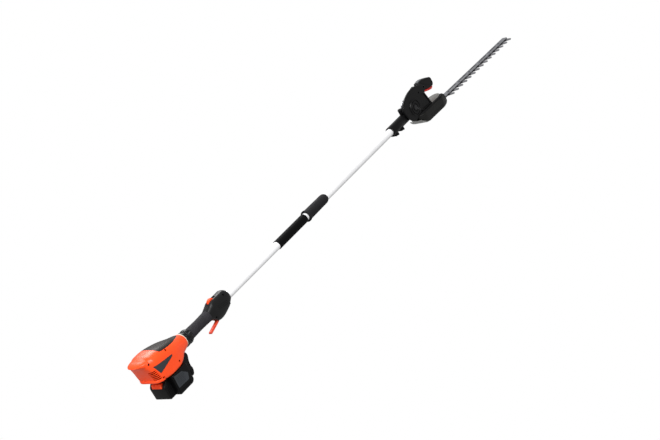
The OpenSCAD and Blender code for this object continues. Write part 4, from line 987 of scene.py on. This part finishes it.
# Rings round the pivot, as a profile of places across the head and radii
BOSS = [
    (-14.4, 0), (-14.4, 31.5), (-23, 31.5), (-26.5, 29.2), (-26.5, 26.4), (-24.2, 25.2),
    (-24.2, 22.6), (-26.5, 21.6), (-26.5, 15.6), (-25.2, 14), (-23.3, 13), (-23.3, 0),
]
HEAD_SCREWS = [(50, 34), (91, 37), (30, -27)]
LEVER_PIN = (91, 21)
PAWL_TURN = radians(15)
# Radii of the room for the clamp's knuckle and of the bore for the crank's shaft
KNUCKLE = 34.3
SHAFT_BORE = 5.04
# Middle of the crank's shaft
CRANK = (76, 0, 0)


class TRIMMER_OT_clamp(bpy.types.Operator):
    """Clamp tube at the end of the pole and its locking knob"""

    bl_idname = "trimmer.clamp"
    bl_label = "Clamp Tube"

    def execute(self, context):
        rounded_copy("clamp_bracket", "black_plastic", "frame", settings().edge_radius)
        x, foot = PIVOT.x - 56, 17.8
        top = foot + 20
        knob = [(10, 0), (10, 3), (foot, 3), (foot, 7.2), (foot + 17, 9), (top, 7.6), (top, 0)]
        knob = solid("clamp_knob", [lathe(knob, "z", (x, 0, 0), 96, 1)])
        for turn in np.radians(np.arange(0, 360, 60)):
            middle = (x + 11 * cos(turn), 11 * sin(turn), 0)
            carve(knob, [rod(3.2, foot - 1, foot + 22, "z", middle)])
        dress(knob, "black_plastic", "knob", ["locking_knob"])
        return {"FINISHED"}


def fold_room(start):
    """Room in which the knuckle turns as the head folds."""
    return prism([(0, 0), *arc(0, 0, 120, start, 287, 16)], -SHELL_IN, SHELL_IN)


class TRIMMER_OT_head(bpy.types.Operator):
    """Head shells with the index sector, the adjusting handle and its lever"""

    bl_idname = "trimmer.head"
    bl_label = "Head"

    def execute(self, context):
        web = slab(WEB, -SHELL_IN - 1, SHELL_OUT, 2.2, 3)
        sector = slab(SECTOR, -SHELL_OUT, -SHELL_IN, 3.2, 4)
        shell = solid("head_shell", [web], on_head)
        carve(shell, [sector], on_head, "UNION")
        carve(shell, [prism(eased(PANEL, 3), -30, -20.8)], on_head)
        carve(shell, [lathe(BOSS, "y", around=96)], on_head, "UNION")
        cuts = [
            rod(KNUCKLE, -SHELL_IN, SHELL_IN, "y", around=96),
            fold_room(57),
            rod(6.04, -30, 30, "y"),
            rod(4.04, 20, 76, "x"),
            rod(9.5, 54, 76, "x"),
            rod(18.5, -13.6, 12, "z", CRANK, 64),
            rod(SHAFT_BORE, -40, -13, "z", CRANK),
            box((85, -5.3, 5), (145, 5.3, 28)),
            *screw_holes(HEAD_SCREWS, -34, -14, 12, 3.5, 1.75),
            rod(2, -12, 12, "y", (LEVER_PIN[0], 0, LEVER_PIN[1])),
            self.pawl_room(),
        ]
        carve(shell, cuts, on_head)
        dress(shell, "black_plastic", "head", ["head_shell_left", "head_shell_right"])
        self.handle()
        self.release_lever()
        return {"FINISHED"}

    def pawl_room(self):
        """Channel of the index pawl, a box turned about the pivot."""
        points, faces = box((30, 9.4, -4.8), (76.3, 15.1, 4.8))
        points[:, [0, 2]] = turned(points[:, [0, 2]], PAWL_TURN)
        return points, faces

    def handle(self):
        """Hooked handle that fits round the web, its lever's channel and its metal plate."""
        outline = [
            (88, 53), (88, 38), (106, 22.5), (138, 13.5), *arc(159, 23, 12, -110, 0, 10),
            *arc(157, 34, 12, 10, 75, 6), (136, 52.5), (110, 56.5),
        ]
        handle = solid("head_handle", [slab(outline, -13, 13, 4, 3)], on_head)
        channel = [(87, -5), (87, 38), (104, 35), (135, 27.5), (158, 23), (172, 22), (172, -5)]
        seat = [(95.9, 70), (95.9, 52.9), (110, 54.9), (125, 53), (125, 70)]
        cuts = [
            prism(inset(eased(WEB, 3), -0.1), -24, 24),
            prism(channel, -5.6, 5.6),
            prism(seat, -7.1, 7.1),
        ]
        carve(handle, cuts, on_head)
        dress(handle, "black_plastic", "head", ["adjusting_handle"])
        plate = [(96, 53), (110, 55), (124.9, 53.1), (124.9, 55.8), (110, 57.6), (96, 56.9)]
        plate = solid("handle_cover", [slab(plate, -7, 7, 0.6, 1)], on_head)
        dress(plate, "zinc_steel", "head", ["handle_plate"])

    def release_lever(self):
        """Long key in the handle's channel, held by its pin."""
        outline = [
            *arc(0, 0, 5, 90, 250, 10), (12, -7.5), (28, -12.5), (46, -17), (66, -20.5),
            *arc(73, -14, 5, -70, 70, 8), (62, -9.6), (44, -7), (26, -3), (14, 1),
        ]
        outline = np.asarray(outline) + LEVER_PIN
        lever = solid("release_key", [slab(outline, -5, 5, 1.8, 2)], on_head)
        carve(lever, [lever_hole(LEVER_PIN)], on_head)
        dress(lever, "red_plastic", "lever", ["release_lever"])


def case_plan(by):
    """Plan of the gear case, round at the rear and tapered in front, moved in by a distance."""
    r, front = 33 - by, 210 - by
    half = [(158, -r), (186, 8 - r), (204, 17 - r), (front, 19 - r)]
    return [*arc(39, 0, r, 90, 270, 28), *half, *[(x, -y) for x, y in half[::-1]]]


def case_foot(up):
    """Slope under the back of the case."""
    return prism([(-4, -47), (4 + up, -52), (44 + up, -74), (44 + up, -76), (-4, -76)], -60, 60)


class TRIMMER_OT_gear_case(bpy.types.Operator):
    """Gear case under the head with a darker band along its top, pale cap and skid plate"""

    bl_idname = "trimmer.gear_case"
    bl_label = "Gear Case"

    def execute(self, context):
        plan = case_plan(0)
        upper = solid("gear_case_top", [slab(plan, -70, -36.5, 3, 4, "z")], on_head)
        # Band darker than the case, between the case's top and the head
        dark_band = solid("gear_case_dark_band", [slab(case_plan(3.2), -38, -32, 1.2, 4, "z")], on_head)
        lower = solid("gear_case_tray", [slab(plan, -74, -40, 3.5, 4, "z")], on_head)
        nose = prism([(184, -20), (184, -32), (210.2, -55), (216, -55), (216, -20)], -60, 60)
        bore = rod(SHAFT_BORE, -80, -20, "z", CRANK, 48)
        knuckle = rod(KNUCKLE, -SHELL_IN, SHELL_IN, "y", around=96)
        screws = [rod(2.5, -60, -40, "z", (x, 0, 0)) for x in (148, 188)]
        room = [nose, bore, knuckle, fold_room(190), case_foot(0)]
        carve(upper, [box((-20, -60, -90), (230, 60, -55)), *room, *screws], on_head)
        carve(dark_band, [slab(plan, -60, -36.4, 3, 4, "z"), *room], on_head)
        inner = solid("tray_room", [prism(case_plan(3.5), -70.5, -20, "z")], on_head)
        carve(inner, [case_foot(7)], on_head)
        carve(lower, inner, on_head)
        lid = box((-20, -60, -55), (230, 60, -20))
        mouth = box((190, -12, -73.3), (230, 12, -50))
        cuts = [lid, mouth, case_foot(0)]
        for z in (-60.5, -65.5):
            for low, high in (on_side(s, 32.3, 36) for s in SIDES):
                cuts.append(box((60, low, z), (150, high, z + 1.2)))
        carve(lower, cuts, on_head)
        dress(upper, "black_plastic", "head", ["gear_case_upper"], finish="case_plastic")
        dress(dark_band, "grip_rubber", "head", finish="dark_band_finish")
        dress(lower, "black_plastic", "head", ["gear_case_lower"], finish="case_plastic")
        self.cap()
        self.skid()
        return {"FINISHED"}

    def cap(self):
        """Pale cap, domed by a wide bar, with three small holes."""
        half = [(108, -22), (150, -23), (172, -18), (182, -9)]
        plan = [*half, *[(x, -y) for x, y in half[::-1]]]
        cap = solid("case_cap", [slab(plan, -32, -26, 1.2, 4, "z")], on_head)
        carve(cap, [rod(90, 80, 220, "x", (0, 0, -118), 220)], on_head, "INTERSECT")
        holes = [rod(1.6, -29.6, -20, "z", (x, -13, 0)) for x in (118, 130, 142)]
        carve(cap, holes, on_head)
        dress(cap, "cast_alloy", "head", ["gear_case_cap"])

    def skid(self):
        """Bright shoe bent round the underside of the case."""
        outer = [
            (3.2, -53.4), (9, -60.5), (18, -67), (30, -72.5), (44, -75.7), (64, -76), (96, -76),
            (120, -75.4),
        ]
        inner = [(120, -74.05), (44.2, -74.05), (4.2, -52.1)]
        skid = solid("skid_shoe", [slab([*outer, *inner], -25, 25, 0.5, 0.8)], on_head)
        dress(skid, "cast_alloy", "head", ["skid_plate"], 45, "skid_alloy")


# ---- fixed nodes


class TRIMMER_OT_frame(bpy.types.Operator):
    """Gives every node of the fixed frame its finish"""

    bl_idname = "trimmer.frame"
    bl_label = "Finish Frame Nodes"

    def execute(self, context):
        slots = {part["node"]: part["material_slot"] for part in frame["record"]["subparts"]}
        for name, obj in NODES.items():
            mat = materials()[OWN_FINISH.get(name, slots[name])]
            if not obj.material_slots:
                obj.data.materials.append(mat)
            for holder in obj.material_slots:
                holder.material = mat
        return {"FINISHED"}


# ---- stage

# Name, place, target, power in watts and size in metres
LIGHTS = (
    ("key", (-0.6, -2.6, 3.2), (0.6, 0, 0.1), 165, 1.6),
    ("fill", (-2.4, 0.6, 2.2), (0.2, 0, 0.1), 45, 2.4),
    ("rim", (1.9, 1.5, 2.0), (1.4, 0, 0.1), 60, 1.4),
)
WHITE = (1, 1, 1, 1)
WORLD_LIGHT = 0.46


class TRIMMER_OT_stage(bpy.types.Operator):
    """Pale floor, soft light and the camera"""

    bl_idname = "trimmer.stage"
    bl_label = "Stage"

    def execute(self, context):
        scene = context.scene
        place_camera(scene)
        self.floor()
        world = bpy.data.worlds.new("studio")
        world.use_nodes = True
        back = world.node_tree.nodes["Background"]
        back.inputs["Color"].default_value = WHITE
        back.inputs["Strength"].default_value = WORLD_LIGHT
        scene.world = world
        scene.view_settings.view_transform = "Standard"
        for name, at, to, power, size in LIGHTS:
            light = bpy.data.lights.new(name, "AREA")
            light.energy = power
            light.size = size
            lamp = add(name, light)
            lamp.location = at
            aim = Vector(to) - Vector(at)
            lamp.rotation_euler = aim.to_track_quat("-Z", "Y").to_euler()
        return {"FINISHED"}

    def floor(self):
        """Wide pale floor that shines by itself and doesn't tint the trimmer."""
        side = 40
        corners = [(-side, -side, 0), (side, -side, 0), (side, side, 0), (-side, side, 0)]
        mesh = bpy.data.meshes.new("floor")
        mesh.from_pydata(corners, [], [(0, 1, 2, 3)])
        floor = add("floor", mesh)
        mat, tree = blank("pale floor")
        glow = put(tree, "ShaderNodeEmission", {"Color": WHITE})
        put(tree, "ShaderNodeOutputMaterial", {"Surface": glow.outputs[0]})
        mesh.materials.append(mat)
        floor.visible_diffuse = False
        floor.visible_glossy = False


# Camera: angle of its view to the pole, turn of the view about the pole, lens length and how
# far the pole passes beside the middle in widths of the view, and distance to its target
VIEW_ANGLE, VIEW_TURN = radians(45.5), radians(29)
FOCAL, BESIDE = 1377 / 660, 19.4 / 660
DISTANCE = 4.33
TARGET = np.array([0.832, 0, 0.092])
SENSOR = 36


def place_camera(scene):
    """Camera behind and above the motor end, rolled so that the pole climbs at 45 degrees.

    The view runs along (cos a, sin a cos t, -sin a sin t) for the angle a and the turn t.
    """
    ca, sa = cos(VIEW_ANGLE), sin(VIEW_ANGLE)
    ct, st = cos(VIEW_TURN), sin(VIEW_TURN)
    ahead = np.array([ca, sa * ct, -sa * st])
    upward = np.array([sa, -ca * ct, ca * st])
    across = np.array([0, -st, -ct])
    roll = atan2(BESIDE, FOCAL * tan(VIEW_ANGLE))
    pole = cos(roll) * upward + sin(roll) * across
    beside = -sin(roll) * upward + cos(roll) * across
    eye = BESIDE / cos(roll) * DISTANCE / FOCAL * across - DISTANCE * ahead + TARGET
    right = (pole + beside) / sqrt(2)
    up = (pole - beside) / sqrt(2)
    rows = [[right[i], up[i], -ahead[i], eye[i]] for i in range(3)] + [[0, 0, 0, 1]]
    data = bpy.data.cameras.new("camera")
    data.sensor_width = SENSOR
    data.lens = FOCAL * SENSOR
    data.clip_end = 200
    scene.camera = add("camera", data)
    scene.camera.matrix_world = Matrix(rows)


class TRIMMER_PT_panel(bpy.types.Panel):
    """Lists the steps that build the trimmer"""

    bl_label = "Pole Hedge Trimmer"
    bl_idname = "TRIMMER_PT_panel"
    bl_space_type = "VIEW_3D"
    bl_region_type = "UI"
    bl_category = "Trimmer"

    def draw(self, context):
        for name in TrimmerSettings.__annotations__:
            self.layout.prop(settings(), name)
        for step in STEPS:
            self.layout.operator(step.bl_idname)


STEPS = (
    TRIMMER_OT_frame, TRIMMER_OT_housing, TRIMMER_OT_battery, TRIMMER_OT_rear_handle,
    TRIMMER_OT_pole, TRIMMER_OT_clamp, TRIMMER_OT_head, TRIMMER_OT_gear_case, TRIMMER_OT_stage,
)
CLASSES = (TrimmerSettings, *STEPS, TRIMMER_PT_panel)


def register():
    """Registers the settings, the operators and the panel."""
    for cls in CLASSES:
        bpy.utils.register_class(cls)
    bpy.types.Scene.trimmer_settings = bpy.props.PointerProperty(type=TrimmerSettings)


def unregister():
    """Takes back what register did."""
    del bpy.types.Scene.trimmer_settings
    for cls in reversed(CLASSES):
        bpy.utils.unregister_class(cls)


def main():
    """Builds the whole trimmer."""
    register()
    for step in STEPS:
        group, call = step.bl_idname.split(".")
        getattr(getattr(bpy.ops, group), call)()


if __name__ == "__main__":
    main()
